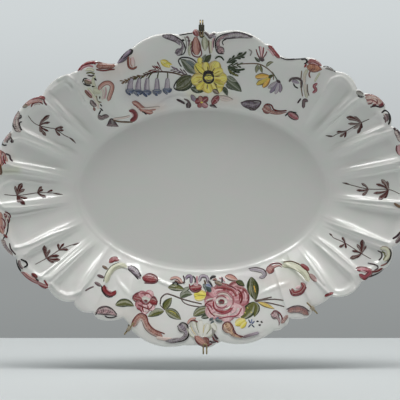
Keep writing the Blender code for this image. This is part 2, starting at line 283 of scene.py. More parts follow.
def relief(places, out, width, raised):
    """Height of the carving above the plain rim."""
    spots = seen(places)
    high = np.zeros(len(places))
    for route in RIB_BEADS:
        gap, share = along(spots, route)
        fade = 1 - smoothstep(0.55, 1.0, share) * RIB_FADE
        high = np.maximum(high, ridge(gap, BEAD[0] * fade, BEAD[1]))
    for route in ARC_BEADS:
        gap, _ = along(spots, route)
        high = np.maximum(high, ridge(gap, *ARC_BEAD))
    for route in SOFT_RIDGES:
        gap, share = along(spots, route)
        fade = np.sin(math.pi * np.clip(share, 0, 1)) ** 0.7
        high = np.maximum(high, ridge(gap, SOFT_RIDGE[0] * fade, SOFT_RIDGE[1]))
    for route, tall, half in raised:
        gap, _ = along(spots, route)
        high = np.maximum(high, ridge(gap, tall, half))
    wave = WAVER * np.sin(spots[:, 0] / 9.1 + 1.3 * np.sin(spots[:, 1] / 13.7))
    wave += WAVER * np.sin(spots[:, 1] / 7.9 + 1.1 * np.sin(spots[:, 0] / 11.3))
    on_rim = smoothstep(0.0, 0.22, out)
    carved = (high - flute_scoop(places[:, (0, 2)], out, width) + wave) * on_rim
    return carved + ridge(out * width - WELL_BEAD_OUT, *WELL_BEAD)


def rise(out):
    """How far the rim has come forward at a share of its width, with a soft start."""
    soft = 0.5 * (out + np.sqrt(out * out + FILLET**2))
    return RIM_RISE * (1 - (1 - np.minimum(soft, 1.0)) ** RISE_POWER)


# ---------------------------------------------------------------- painted decoration

COLOURS = {
    "crimson": (0.287, 0.043, 0.05), "deep_red": (0.188, 0.033, 0.033),
    "red_brown": (0.251, 0.088, 0.065), "salmon": (0.58, 0.287, 0.233),
    "pink": (0.76, 0.48, 0.44), "blush": (0.80, 0.68, 0.62), "wine": (0.20, 0.04, 0.05),
    "rose": (0.622, 0.297, 0.325), "rose_pale": (0.80, 0.52, 0.54), "rose_deep": (0.372, 0.08, 0.104),
    "plum": (0.197, 0.129, 0.137), "dark_plum": (0.075, 0.045, 0.052),
    "mauve": (0.325, 0.26, 0.344), "lilac": (0.48, 0.421, 0.49), "navy": (0.08, 0.104, 0.18),
    "blue": (0.25, 0.30, 0.47), "teal": (0.09, 0.13, 0.135), "yellow": (0.90, 0.78, 0.13),
    "gold": (0.75, 0.55, 0.10), "orange": (0.92, 0.55, 0.10), "peach": (0.74, 0.37, 0.20),
    "peach_pale": (0.88, 0.62, 0.38), "olive": (0.08, 0.088, 0.024), "moss": (0.17, 0.175, 0.055),
    "dark_green": (0.035, 0.055, 0.022), "grey_green": (0.10, 0.125, 0.065),
    "pale_green": (0.60, 0.62, 0.42), "cream_green": (0.70, 0.70, 0.52), "brown": (0.197, 0.12, 0.065),
    "sprig": (0.10, 0.024, 0.022), "stem": (0.13, 0.085, 0.072), "grey": (0.344, 0.325, 0.297),
    "ivory": (0.80, 0.79, 0.72), "black": (0.03, 0.025, 0.025),
}
WIDE_STROKE = 2.3  # a stroke wider than this shows brush marks, with painted glints among them, and is moulded if its motif is


def stroke_maker(shape):
    """A function that makes strokes of one shape, from their colours (see tinted), width and points."""
    return lambda tone, width, *points: (shape, tone, width, points)


line, dab, comma, leaf, petal, bell, blade = (
    stroke_maker(shape) for shape in ("line", "dab", "comma", "leaf", "petal", "bell", "tip"))


def circle(u, v, radius):
    """Points every 30 degrees round a circle, the first one repeated at the end."""
    turns = [math.radians(30 * k) for k in range(13)]
    return tuple((u + radius * math.cos(t), v + radius * math.sin(t)) for t in turns)


def rays(tone, width, middle, near, far, turns):
    """Short lines pointing out from a middle, at these directions in degrees."""
    u, v = middle
    strokes = []
    for turn in turns:
        du, dv = math.cos(math.radians(turn)), math.sin(math.radians(turn))
        strokes.append(line(tone, width, (u + near * du, v + near * dv), (u + far * du, v + far * dv)))
    return strokes


def needles(tone, width, stem, reach, gap, spread):
    """Pairs of fine leaves along a stem, leaning ahead by spread degrees."""
    strokes = []
    for (au, av), (bu, bv) in zip(stem, stem[1:]):
        length, turn = math.hypot(bu - au, bv - av), math.atan2(bv - av, bu - au)
        for k in range(max(1, int(length / gap))):
            t = (k + 0.5) * gap / length
            u, v = au + (bu - au) * t, av + (bv - av) * t
            for side in (-1, 1):
                lean = turn + side * math.radians(spread)
                far = reach * (0.85 + 0.15 * math.cos(2.4 * len(strokes)))
                tip = (u + far * math.cos(lean), v + far * math.sin(lean))
                strokes.append(blade(tone, width, (u, v), tip))
    return strokes


def bellflower(top, mouth, bow):
    """A hanging bell from its stalk's end to its mouth, and the dark bow of its lips."""
    return (
        bell("mauve/lilac", 5.8, (top, 110.0), (mouth, 103.0), (mouth, 98.5)),
        line("plum", 1.0, (top, 109.0), (mouth - 1.0, 104.0), (mouth - 1.6, 100.0)),
        dab("blue/navy", 3.4, (mouth - 2.0, bow + 2.2), (mouth + 1.6, bow + 2.6)),
        dab("navy", 2.8, (mouth - 3.6, bow + 1.2), (mouth - 2.4, bow - 0.8)),
        dab("navy", 2.8, (mouth + 3.6, bow + 1.2), (mouth + 2.0, bow - 0.4)),
        dab("navy", 2.4, (mouth - 1.6, bow - 1.4), (mouth - 0.4, bow - 2.2)),
        dab("blue", 1.8, (mouth - 0.4, bow + 0.6), (mouth + 0.8, bow - 0.2)),
    )


# The strokes of each motif, in the order that they are painted
LEFT_EDGE = (
    line("salmon", 3.4, (-178, 82.5), (-173.5, 86.3), (-166, 87.3), (-161, 86.5)),
    line("wine/crimson", 3.6, (-179, 84), (-175, 87), (-168, 88.3), (-163, 89.5)),
    line("salmon>pink", 3.0, (-176, 82), (-172, 85.5), (-165, 87), (-160, 86.5)),
    dab("black/brown", 4.0, (-179.3, 82), (-177, 82.3)),
    line("wine", 1.5, (-180.3, 80.8), (-176, 86.4), (-168.5, 89.6), (-162.5, 90.6)),
    line("deep_red", 1.6, (-172, 80.8), (-170, 84.3), (-164, 86), (-159.8, 83.8)),
    line("rose_pale", 1.3, (-175, 83.5), (-171, 86.8), (-164.5, 88)),
    line("blush", 1.1, (-169, 82.5), (-166, 84), (-162.5, 83.5)),
    dab("black/crimson", 4.4, (-162, 90.6), (-159.8, 90)),
    line("wine", 1.6, (-159.3, 89), (-158.3, 85.3), (-156, 82.5)),
    line("plum|blush", 7.4, (-184, 76), (-186.7, 71), (-187.7, 66), (-185.7, 60), (-182.5, 56)),
    line("dark_plum", 1.5, (-184.7, 72.5), (-187.3, 68), (-187, 62.5), (-183.5, 58.5)),
    line("rose_pale", 1.2, (-186.3, 73), (-188.7, 68), (-188.3, 63)),
    line("black", 1.5, (-184, 77), (-189, 72.3), (-191, 66), (-188.5, 60.3), (-184, 57.5)),
    line("black", 1.3, (-185, 76.5), (-188.5, 72), (-191, 66.5), (-190, 61)),
    line("black", 1.4, (-182.3, 73.5), (-182, 70.5), (-185, 69)),
    line("black", 1.6, (-181, 66.5), (-183.5, 65), (-183, 61), (-181, 57.5)),
    line("plum|blush", 7.0, (-192, 54.7), (-195.7, 50.8), (-198.2, 46.2)),
    line("rose_pale", 1.2, (-194.5, 52), (-197.5, 48.5), (-198.6, 45.5)),
    line("dark_plum", 1.5, (-192.5, 51.5), (-195.3, 48), (-196, 44.8)),
    line("black", 1.6, (-192, 57), (-197, 53), (-201, 46), (-199.5, 43), (-196, 43)),
    comma("dark_plum", 3.4, (-191, 46.8), (-192, 50.5), (-195, 52)),
    line("deep_red/salmon", 5.5, (-202, 38), (-203.5, 33), (-203, 27), (-201, 22)),
    line("salmon", 2.6, (-199.5, 35.5), (-197.5, 30.5), (-195.5, 26.5)),
    line("wine", 1.4, (-201.5, 37), (-198, 33.5), (-198, 27.5), (-200.5, 23)),
    line("wine", 1.3, (-203, 32), (-201.3, 27), (-202.5, 22)),
    line("rose_pale", 1.2, (-203.3, 35.5), (-201, 31.5), (-200.8, 27)),
    line("crimson", 1.4, (-199.5, 33), (-199.5, 28), (-197, 24)),
    line("dark_plum", 1.8, (-197.5, 34.5), (-193.5, 32.5), (-192.5, 29), (-190, 26.5)),
    line("red_brown>brown", 4.0, (-203.5, 24), (-203, 18), (-202, 13)),
    line("red_brown/salmon", 5.5, (-202.5, -24), (-203, -31), (-202, -38), (-200, -46)),
    line("pink", 1.8, (-200.5, -28), (-200.8, -35), (-199, -43)),
    line("red_brown/blush", 4.2, (-199, -25), (-196.3, -29), (-196, -34)),
    line("wine", 1.3, (-198.5, -23.5), (-193.7, -26), (-192.3, -30)),
    line("wine", 1.2, (-195.5, -27.5), (-193.5, -31), (-194.5, -35.5)),
    line("wine", 1.4, (-203.5, -29), (-198.8, -32.5), (-198, -38.5), (-200.5, -43)),
    dab("wine", 2.8, (-198, -26.5), (-196.8, -29)),
    dab("crimson", 3.0, (-201.3, -38), (-200, -41)),
    line("blush", 1.4, (-197, -31), (-195.8, -35), (-197.3, -39)),
    dab("deep_red", 2.6, (-198.5, -47), (-196.5, -49)),
    line("black", 1.3, (-195.5, -30), (-195, -38), (-196.5, -46), (-200, -51)),
    line("plum|blush", 5.6, (-200.5, -51), (-199, -58), (-195.5, -63.5), (-190.5, -67.5)),
    line("dark_plum", 1.4, (-193.5, -55), (-192, -61), (-187, -67)),
    line("lilac", 1.3, (-199, -53), (-197, -59), (-193, -64)),
    line("black", 2.2, (-187, -71), (-186, -77), (-182, -83.5)),
    line("plum", 2.6, (-184, -72), (-183, -77), (-180, -81)),
    line("black", 1.8, (-182.5, -71), (-177, -74), (-176, -77.5), (-179.5, -79.5)),
    line("wine/crimson", 4.4, (-182, -84), (-173, -91), (-163, -96.5), (-155, -99.5)),
    line("pink", 1.6, (-178, -84.5), (-172, -89), (-166, -92.5)),
    dab("deep_red", 3.6, (-170, -86.5), (-167, -88.5)),
    dab("black", 2.2, (-167, -91), (-165, -92.5)),
    line("crimson", 1.8, (-159, -92), (-155, -98)),
)
RIGHT_EDGE = (
    leaf("deep_red|peach", 9.4, (103.5, 121.5), (111, 120), (119, 118.5)),
    line("wine/crimson", 4.8, (104.3, 125), (109.5, 127), (115.5, 125), (118.5, 122)),
    line("rose_pale", 1.3, (106.5, 124.6), (110.5, 125), (115, 122.8)),
    leaf("grey", 2.8, (122, 119.6), (126.5, 119.3), (131, 116.5)),
    line("black", 1.6, (120, 121.4), (125, 121.8), (129.7, 118.9), (132.7, 115.8)),
    dab("black/grey", 5.0, (155.4, 95.3), (158, 94.3)),
    line("black", 1.6, (154.5, 92.5), (157.5, 91), (161, 91.7)),
    line("salmon|blush", 6.4, (162, 90.3), (170, 90), (175.3, 86.8), (179, 83.5)),
    dab("wine", 4.2, (177.3, 82.7), (181, 85)),
    line("pink", 2.4, (163.5, 86.3), (169.5, 86.3), (174.5, 83.2)),
    line("deep_red", 1.5, (161.5, 92.8), (170, 93), (176.7, 89.3), (181, 84.5)),
    line("crimson", 1.4, (163, 88), (169.5, 88), (174.8, 84.8)),
    line("blush", 1.1, (164, 91), (170, 91), (174, 89)),
    line("wine", 1.5, (171.5, 90), (174.3, 87.3), (173.2, 84), (169, 82.8)),
    line("crimson", 1.3, (164.5, 84), (168.5, 84.7), (170, 87)),
    line("dark_plum", 1.6, (167, 80.8), (172.5, 82), (177.5, 80.8), (181, 82.5)),
    line("black/plum", 6.6, (180.7, 73.5), (183, 72), (184, 66.5)),
    line("blush", 1.8, (180.3, 74.3), (181.8, 73), (182.3, 70)),
    line("plum", 1.6, (181.7, 73), (182.7, 69), (182.4, 65)),
    line("black", 1.9, (178.5, 75), (182, 77.6), (185.7, 75.5), (187, 68.5), (185.4, 63)),
    line("dark_plum", 3.4, (190.3, 60), (195.5, 56.6), (195.8, 52)),
    line("plum|blush", 5.0, (192, 58.2), (195.5, 52), (198, 46)),
    line("red_brown>plum", 4.0, (200, 44), (202.5, 37), (203, 29)),
    line("plum/rose", 5.0, (196.5, 43.5), (196, 38), (198, 32)),
    line("wine", 1.4, (194, 43), (193.3, 38.5), (195, 34)),
    line("salmon", 3.4, (203, 27), (204, 17), (203.5, 8)),
    line("brown", 2.6, (191, -15), (195, -18), (199, -19.5)),
    line("salmon>red_brown", 3.4, (203, -14), (203.5, -26), (201, -38)),
    line("dark_plum", 2.0, (189.5, -51), (194, -48), (198, -43.5)),
    line("plum", 3.8, (199, -42), (197.5, -49), (192.5, -55)),
    line("brown/cream_green", 5.0, (177, -60.3), (183, -60.8), (185.4, -64), (184.8, -69), (181, -73)),
    line("moss", 1.4, (178.5, -63.5), (181.5, -65), (182, -69), (180, -72)),
    line("dark_plum", 1.3, (174.5, -62.5), (178.5, -65), (178.5, -69.5), (175.5, -72.5)),
    line("red_brown", 1.5, (184.5, -74.5), (181.5, -76.5), (177.5, -78)),
    line("ivory", 1.2, (179, -61.6), (182.7, -63), (183, -67.5)),
    line("black", 1.5, (186.5, -60.5), (188, -65), (186.7, -71), (183, -76)),
    line("wine/rose_deep", 5.0, (154, -82.3), (160, -81), (167, -83.4), (166, -86.3), (161.5, -89.3),
        (156, -86.3)),
    line("deep_red", 2.6, (167.5, -84.3), (175, -82.6), (179.5, -80)),
    line("rose_pale", 1.3, (157, -83), (161, -83.5), (164.5, -85.3)),
    line("wine", 1.5, (152.5, -80.5), (157, -79.2), (163.5, -80.3), (168, -83)),
    line("crimson", 2.2, (159, -90.5), (163.5, -91), (169, -88.5)),
    line("black", 1.3, (160.5, -92), (165.5, -89.3), (177, -84.3), (181, -81)),
    line("dark_plum", 1.3, (164.5, -75), (173, -77), (175, -80), (171, -82.5)),
)
TOP_LEFT = (
    line("wine/crimson", 4.8, (-125.3, 117), (-123.5, 121), (-119.7, 124.2), (-115, 125.6), (-109.5, 126),
        (-107.5, 123.5)),
    line("rose", 2.0, (-122.7, 117.5), (-119.5, 120.7), (-114, 122.5), (-109.5, 121)),
    line("brown/cream_green", 3.2, (-117.5, 117.6), (-113, 118.6), (-108.5, 117)),
    line("moss", 1.6, (-117, 114.7), (-112.5, 115.4), (-108, 114)),
    leaf("black/brown", 6.4, (-119, 107.8), (-115, 106), (-110.5, 105)),
    leaf("rose_pale", 2.0, (-117.5, 108.6), (-114, 107.6), (-111, 107)),
    line("cream_green", 3.4, (-108, 113), (-110, 107.5), (-108.5, 101), (-105, 95)),
    line("cream_green", 3.2, (-115, 100), (-111, 94.5), (-107, 88.5), (-104, 83)),
    line("blush", 2.6, (-110.5, 92), (-106.5, 86), (-104.5, 79)),
    line("brown", 1.2, (-106.7, 92.5), (-105.5, 87), (-101.5, 85.5)),
    line("dark_plum", 1.6, (-115.6, 113), (-111.5, 112), (-108.7, 113.3)),
    line("black", 1.3, (-120.5, 105.5), (-119, 109.3), (-115.5, 109.5)),
    line("black", 1.3, (-120, 104.6), (-116, 102.5), (-112, 102.5)),
    dab("black", 1.8, (-108.5, 109.5), (-107, 108)),
    dab("black", 1.6, (-110.7, 101.5), (-108.8, 101.5)),
    line("deep_red/red_brown", 3.0, (-118, 98), (-116, 95), (-113, 92), (-111, 90)),
    line("rose_pale", 1.6, (-115.3, 98.5), (-113, 95), (-110.5, 92.5)),
    leaf("cream_green", 6.5, (-110, 98.5), (-106, 96.5), (-102, 95.5)),
    line("black", 1.3, (-103, 92), (-103.5, 89)),
    line("black", 1.3, (-103, 84), (-101, 81.5)),
    line("black/plum", 4.4, (-112.5, 88), (-110, 84), (-106.5, 82)),
    line("red_brown", 2.5, (-109.5, 81), (-108, 77)),
    line("black", 1.4, (-103, 80), (-100, 77)),
    line("black", 1.5, (-102, 78), (-104.5, 73)),
    line("black/plum", 4.6, (-105, 73), (-102, 70), (-98, 71.5), (-94, 71.5)),
    petal("dark_plum", 7.5, (-92, 69.5), (-91.3, 66), (-90.5, 61.5)),
    leaf("plum", 4.0, (-96.5, 62.3), (-91, 63.6), (-84.5, 61.5)),
    line("dark_plum", 1.6, (-96, 62), (-91.5, 69), (-85, 61.5)),
    line("blush", 2.2, (-101, 99.5), (-99.5, 94), (-101, 88)),
    line("rose_pale", 1.6, (-97.5, 101), (-97, 95), (-98.5, 89)),
    line("red_brown/salmon", 4.6, (-104.5, 98), (-102, 102), (-98, 104.8), (-94, 105), (-91, 102.3),
        (-91.3, 98), (-93, 93), (-95, 87)),
    line("red_brown|salmon", 7.0, (-107, 121.5), (-97, 122.5), (-88, 122)),
    line("blush", 1.4, (-105, 123), (-97, 123.8), (-90, 123.2)),
    line("red_brown", 1.4, (-107, 125.3), (-97, 126), (-88, 125.2)),
    line("deep_red", 1.5, (-107, 118.5), (-100, 117.4), (-93, 118.3), (-88, 118.8)),
    leaf("dark_plum/mauve", 7.5, (-85, 125), (-80, 130), (-75, 135), (-71.5, 138)),
    line("dark_plum", 1.3, (-82.5, 127.5), (-77.5, 132.5), (-73, 136)),
    line("black", 1.9, (-85.5, 125), (-81, 131), (-76, 136.6), (-73, 138.4), (-70.8, 137.6), (-71.7, 135),
        (-75, 132.6), (-79, 129.6), (-83, 126)),
    petal("rose_pale>blush", 5.4, (-70.5, 131), (-70.5, 126), (-69.5, 121)),
    line("salmon", 1.5, (-72.3, 130), (-72.3, 125), (-70.5, 121)),
    line("red_brown", 2.3, (-74.5, 132), (-75, 127), (-74, 121), (-70, 119.3), (-66, 121.5)),
    line("blush", 2.2, (-90, 69), (-79, 70.5), (-73, 72)),
    line("brown", 1.5, (-90, 68), (-84, 66.4), (-76, 66), (-70, 66)),
    line("wine/crimson", 5.0, (-74, 77.5), (-70, 76.5), (-67.5, 73), (-69, 69), (-73, 67.5)),
    line("rose_pale", 1.2, (-73, 76), (-70.3, 74.6), (-70, 71)),
    line("crimson/salmon", 5.4, (-71, 86), (-66, 84), (-61, 79.5), (-55, 76.5), (-50, 75.5)),
    line("salmon", 1.3, (-69, 85), (-64, 82.4), (-60, 78.5)),
    line("blush", 2.4, (-65, 80), (-56, 79.5), (-43, 81)),
    line("salmon", 1.5, (-63, 77.3), (-55, 77.4), (-47, 78.6)),
    line("black", 1.6, (-61.5, 77), (-58.5, 75.5), (-56.5, 73.5)),
)
TOP_FLOWERS = (
    # stems and leaves
    *needles("brown", 1.3, ((-48, 116.2), (-60, 112.8), (-80, 106)), 6.0, 3.4, 24),
    *needles("deep_red", 1.3, ((-39, 116.5), (-50, 119.5)), 8.0, 3.2, 26),
    *needles("deep_red", 1.3, ((-41, 118.5), (-45, 122)), 8.0, 3.0, 20),
    *needles("plum", 1.3, ((-14, 113), (-22, 116.5), (-30, 119)), 6.5, 4.0, 24),
    line("dark_plum>brown", 1.4, (-60, 112.5), (-52, 115), (-44, 116.2), (-36, 116), (-28, 114.8),
        (-20, 112.5), (-10, 111)),
    line("plum>mauve", 1.2, (-18, 113.5), (-24, 117), (-30, 121)),
    line("brown", 1.1, (-60, 112.5), (-68, 110.5), (-76, 107.7), (-82, 104.5)),
    line("olive", 1.2, (-35.5, 115.5), (-35.2, 109.5)),
    line("olive", 1.2, (-44.5, 116), (-45.8, 109.5)),
    line("olive", 1.2, (-52, 115), (-55, 109)),
    line("olive", 1.2, (-59.5, 112.7), (-63, 108.5)),
    line("olive", 1.2, (-64.5, 112), (-70.5, 107.5)),
    leaf("gold/yellow", 7.0, (-42.5, 127.5), (-37.5, 124.5), (-33, 120.5)),
    leaf("yellow", 4.0, (-40, 123), (-36.5, 124.5), (-31, 123.5)),
    line("moss", 1.0, (-41, 126), (-37, 123.6), (-34, 121)),
    leaf("dark_green/grey_green", 9.5, (-7, 114.5), (-12, 119), (-17, 124.5), (-22.5, 129)),
    leaf("dark_green/teal", 6.0, (-6, 119), (-12, 124), (-19, 128)),
    line("black", 1.2, (-8.5, 115.5), (-15, 121), (-21.5, 127.5)),
    line("black", 1.3, (-6, 119.5), (-6.5, 125), (-12, 129.5), (-21, 130.5), (-24.5, 127), (-21.5, 121)),
    leaf("dark_green/olive", 12.0, (-11, 111), (-15, 106), (-21, 101.5), (-27.5, 99.5)),
    leaf("olive", 8.0, (-12, 111.5), (-18, 109.5), (-24, 105), (-26.5, 101)),
    line("dark_green", 1.4, (-12, 110.5), (-18, 105.5), (-25.5, 100.5)),
    line("black", 1.2, (-12, 112.5), (-19, 111.6), (-26, 107), (-29, 100.5), (-24, 97.6), (-15, 99.5)),
    leaf("dark_green", 7.0, (-12.5, 100), (-7, 98.5), (-1, 98.5), (4, 99.5)),
    leaf("dark_green", 4.5, (-10, 103), (-4, 101.5), (2, 102)),
    dab("grey_green", 2.4, (-8, 98), (-5.5, 97)),
    leaf("dark_green>olive", 6.0, (2, 124.5), (4, 128.5), (8, 133.5)),
    leaf("grey_green", 4.0, (0, 126), (1, 130), (3, 133.5)),
    line("dark_green", 1.6, (12, 129), (15, 131.3), (18.5, 130.7), (21, 127.5)),
    leaf("dark_green", 5.0, (18.5, 101), (22, 98), (24.5, 92.5)),
    leaf("dark_green/grey_green", 9.5, (23, 109), (29, 104.5), (34, 100.5), (38.5, 96.5)),
    leaf("dark_green", 4.2, (22.5, 103.5), (27, 101), (32, 98)),
    leaf("grey_green", 5.0, (24.5, 112), (29, 108.5), (34, 106.5)),
    *needles("dark_green", 1.9, ((23, 124.5), (31, 129), (39, 132.5)), 8.0, 3.2, 26),
    *needles("grey_green", 1.6, ((24, 122), (32, 122.5), (37, 122.5)), 7.0, 3.4, 24),
    *needles("dark_green", 1.8, ((23.5, 120.5), (29, 117), (34, 114)), 7.0, 3.2, 28),
    line("moss", 2.0, (25, 119), (30, 114.5), (35.5, 112)),
    line("dark_green", 2.4, (23.5, 125), (32, 129.8), (40, 133.2), (43.5, 136.5)),
    line("dark_green", 2.0, (24.5, 121.5), (30, 119), (36, 118), (42, 119)),
    line("grey", 1.2, (45.5, 138.7), (48.5, 136.5), (47, 132)),
    # primrose
    dab("yellow", 20.0, (3.5, 111), (8, 111)),
    petal("gold/yellow", 13.0, (2.5, 115), (-3, 120), (-8, 123.5)),
    petal("gold/yellow", 13.0, (8, 115), (11.5, 120.5), (14.5, 126.5)),
    petal("gold/yellow", 14.5, (9, 110), (16, 109.5), (24, 110.5)),
    petal("gold/yellow", 12.0, (7.5, 107), (13, 102), (17.5, 96)),
    petal("gold/yellow", 12.0, (3, 108), (4.5, 102), (7, 95.5)),
    petal("gold/yellow", 13.0, (2, 111), (-4, 109), (-11.5, 106.5)),
    leaf("gold", 4.2, (-1.5, 109.5), (-4.5, 107.5), (-7.5, 106)),
    petal("gold/yellow", 11.0, (9, 113), (15, 116), (20, 117.5)),
    petal("gold/yellow", 9.0, (4, 116), (3, 121), (3, 126)),
    petal("gold/yellow", 9.0, (10, 107), (16, 104), (21, 103)),
    petal("gold/yellow", 8.0, (1, 106), (-3, 102), (-6.5, 99.5)),
    line("olive", 0.9, (-1.5, 114), (-6, 119), (-8, 123)),
    line("olive", 0.9, (11, 106), (14, 100), (14, 95.5)),
    leaf("dark_green/brown", 4.8, (9.5, 98.5), (12.5, 97), (16, 94)),
    *rays("brown", 1.0, (5.6, 110.5), 6.5, 11.5, (10, 58, 95, 150, 205, 262, 318)),
    *rays("gold", 1.1, (5.6, 110.5), 6.5, 13.0, (-12, 32, 75, 122, 178, 232, 288, 340)),
    line("black", 2.3, *circle(5.6, 110.4, 5.0)),
    line("black", 1.5, (0.5, 112), (1.5, 116), (6, 117.2), (11, 115)),
    dab("grey_green/yellow", 6.6, (4.6, 110.4), (6.6, 110.4)),
    line("black", 1.5, *circle(5.9, 110.2, 2.3)),
    dab("dark_green", 1.8, (5, 110.6), (7.4, 110.6)),
    petal("yellow", 5.0, (-3, 124.5), (-3.2, 127.5), (-2.5, 130.5)),
    # beneath the primrose
    dab("dark_plum/mauve", 4.6, (-10.5, 91.3), (-8.8, 88.7)),
    leaf("blush", 5.4, (15, 91.5), (21, 89.7), (30, 88.6)),
    petal("wine/crimson", 6.4, (-1.5, 86), (-4.7, 87), (-8, 85.6)),
    petal("deep_red/salmon", 6.0, (-1.5, 86), (-2.5, 89), (-3.5, 92)),
    petal("wine/crimson", 6.4, (-1, 86), (2, 88.5), (5, 90.6)),
    petal("deep_red/rose", 6.0, (-1, 85.7), (1.8, 83), (5, 82)),
    petal("wine/crimson", 5.6, (-1.6, 85.6), (-3.5, 82.8), (-5.5, 81.6)),
    dab("yellow", 2.2, (-1.7, 86), (-0.7, 86)),
    dab("wine/crimson", 6.4, (10.8, 86.5), (13.8, 90)),
    line("rose_pale", 1.4, (10.8, 89), (13.5, 88.5), (14.5, 86)),
    leaf("dark_plum", 2.6, (6.5, 82.6), (10.5, 82.2), (14, 80.3)),
    line("dark_plum", 2.0, (-26.5, 88.7), (-22, 86.7), (-18, 84.3)),
    comma("dark_plum>plum", 5.4, (-14.7, 83), (-14.5, 86.5), (-19, 89.3)),
    # the bells on the left
    *bellflower(-35.5, -35.8, 97.0),
    *bellflower(-46.0, -46.0, 95.5),
    *bellflower(-55.5, -56.3, 94.5),
    *bellflower(-63.5, -64.8, 95.0),
    *bellflower(-71.0, -73.0, 96.0),
)
TOP_CREST = (
    leaf("dark_plum|lilac", 6.4, (-41, 151.8), (-33, 151), (-27, 148), (-22.5, 142.5)),
    comma("dark_plum|lilac", 7.4, (-24.2, 136.2), (-20.8, 139.5), (-21, 145), (-28, 150.5)),
    line("black", 1.3, (-41, 153), (-33, 153), (-26, 150.8), (-20, 145.5), (-17.7, 139.5), (-19.5, 134.2),
        (-25, 132.6)),
    line("black", 1.3, (-24, 152.8), (-16, 154.2), (-10, 155)),
    dab("black", 2.2, (-20.6, 147.8), (-19.6, 147.8)),
    dab("black", 2.2, (-14.5, 147.3), (-13.6, 147.3)),
    dab("plum", 1.8, (-16.5, 151), (-15.4, 151)),
    petal("deep_red/salmon", 10.0, (-7.3, 151), (-7, 143), (-6.4, 133)),
    line("blush", 1.3, (-7.3, 147), (-7.8, 140), (-8.2, 135.5)),
    line("red_brown", 1.2, (-6, 147), (-4.8, 140), (-4, 135)),
    line("wine", 1.2, (-7.5, 150.5), (-10, 143), (-11.4, 136.5), (-9.5, 132.2), (-4.5, 131), (-1.4, 134),
        (-2.6, 140), (-6, 149)),
    dab("wine/crimson", 6.4, (-7.8, 156.6), (-6.4, 154.4)),
    line("rose_pale", 1.4, (-8.5, 157.5), (-7.4, 154), (-7.2, 151.5)),
    dab("wine", 2.6, (-3.4, 155.4), (-1.8, 154.8)),
    line("dark_green", 1.4, (-3.8, 153), (-1.5, 150.6), (1.5, 152.3)),
    line("plum", 1.5, (-15.5, 152), (-14, 147), (-14.3, 141)),
    line("grey", 1.2, (-18.5, 151.5), (-16.7, 146), (-16.5, 139)),
    line("brown", 1.2, (-13.5, 135), (-12.6, 141), (-11, 147)),
    line("cream_green", 2.6, (-13, 132), (-14, 138), (-12, 145)),
    line("rose_pale", 1.4, (11, 151), (9.2, 144), (9, 137)),
    line("plum", 1.2, (13, 152), (10.8, 146), (10.8, 140)),
    line("brown", 1.2, (5.8, 148), (6, 141), (7, 134)),
    line("cream_green", 2.6, (8, 147), (7.7, 141), (8.3, 135)),
    leaf("moss/cream_green", 7.0, (1, 151.5), (2, 144.5), (2, 137)),
    line("moss", 1.0, (2.8, 150), (3.6, 144), (3, 138.5)),
    line("dark_plum", 2.8, (1.5, 156), (5, 153), (7.3, 150.3), (9.5, 153.4), (12.5, 154.3)),
    leaf("plum>lilac", 4.0, (5, 151.5), (9, 152.3), (13, 150)),
    leaf("dark_plum|lilac", 7.0, (17, 149.5), (27, 152.3), (37, 152.8), (49, 150)),
    comma("dark_plum|rose_pale", 7.6, (17.7, 138), (15.2, 142), (15.8, 147.5), (21, 151.5), (28.5, 152.7)),
    line("black", 1.3, (21, 134.2), (15.5, 134.8), (13, 139), (12.9, 147.5), (18, 152.6), (28.5, 155),
        (38.5, 155), (50, 151)),
    line("black", 1.1, (20.5, 142.5), (19.5, 146.5), (25, 149.6), (34, 150.6)),
)
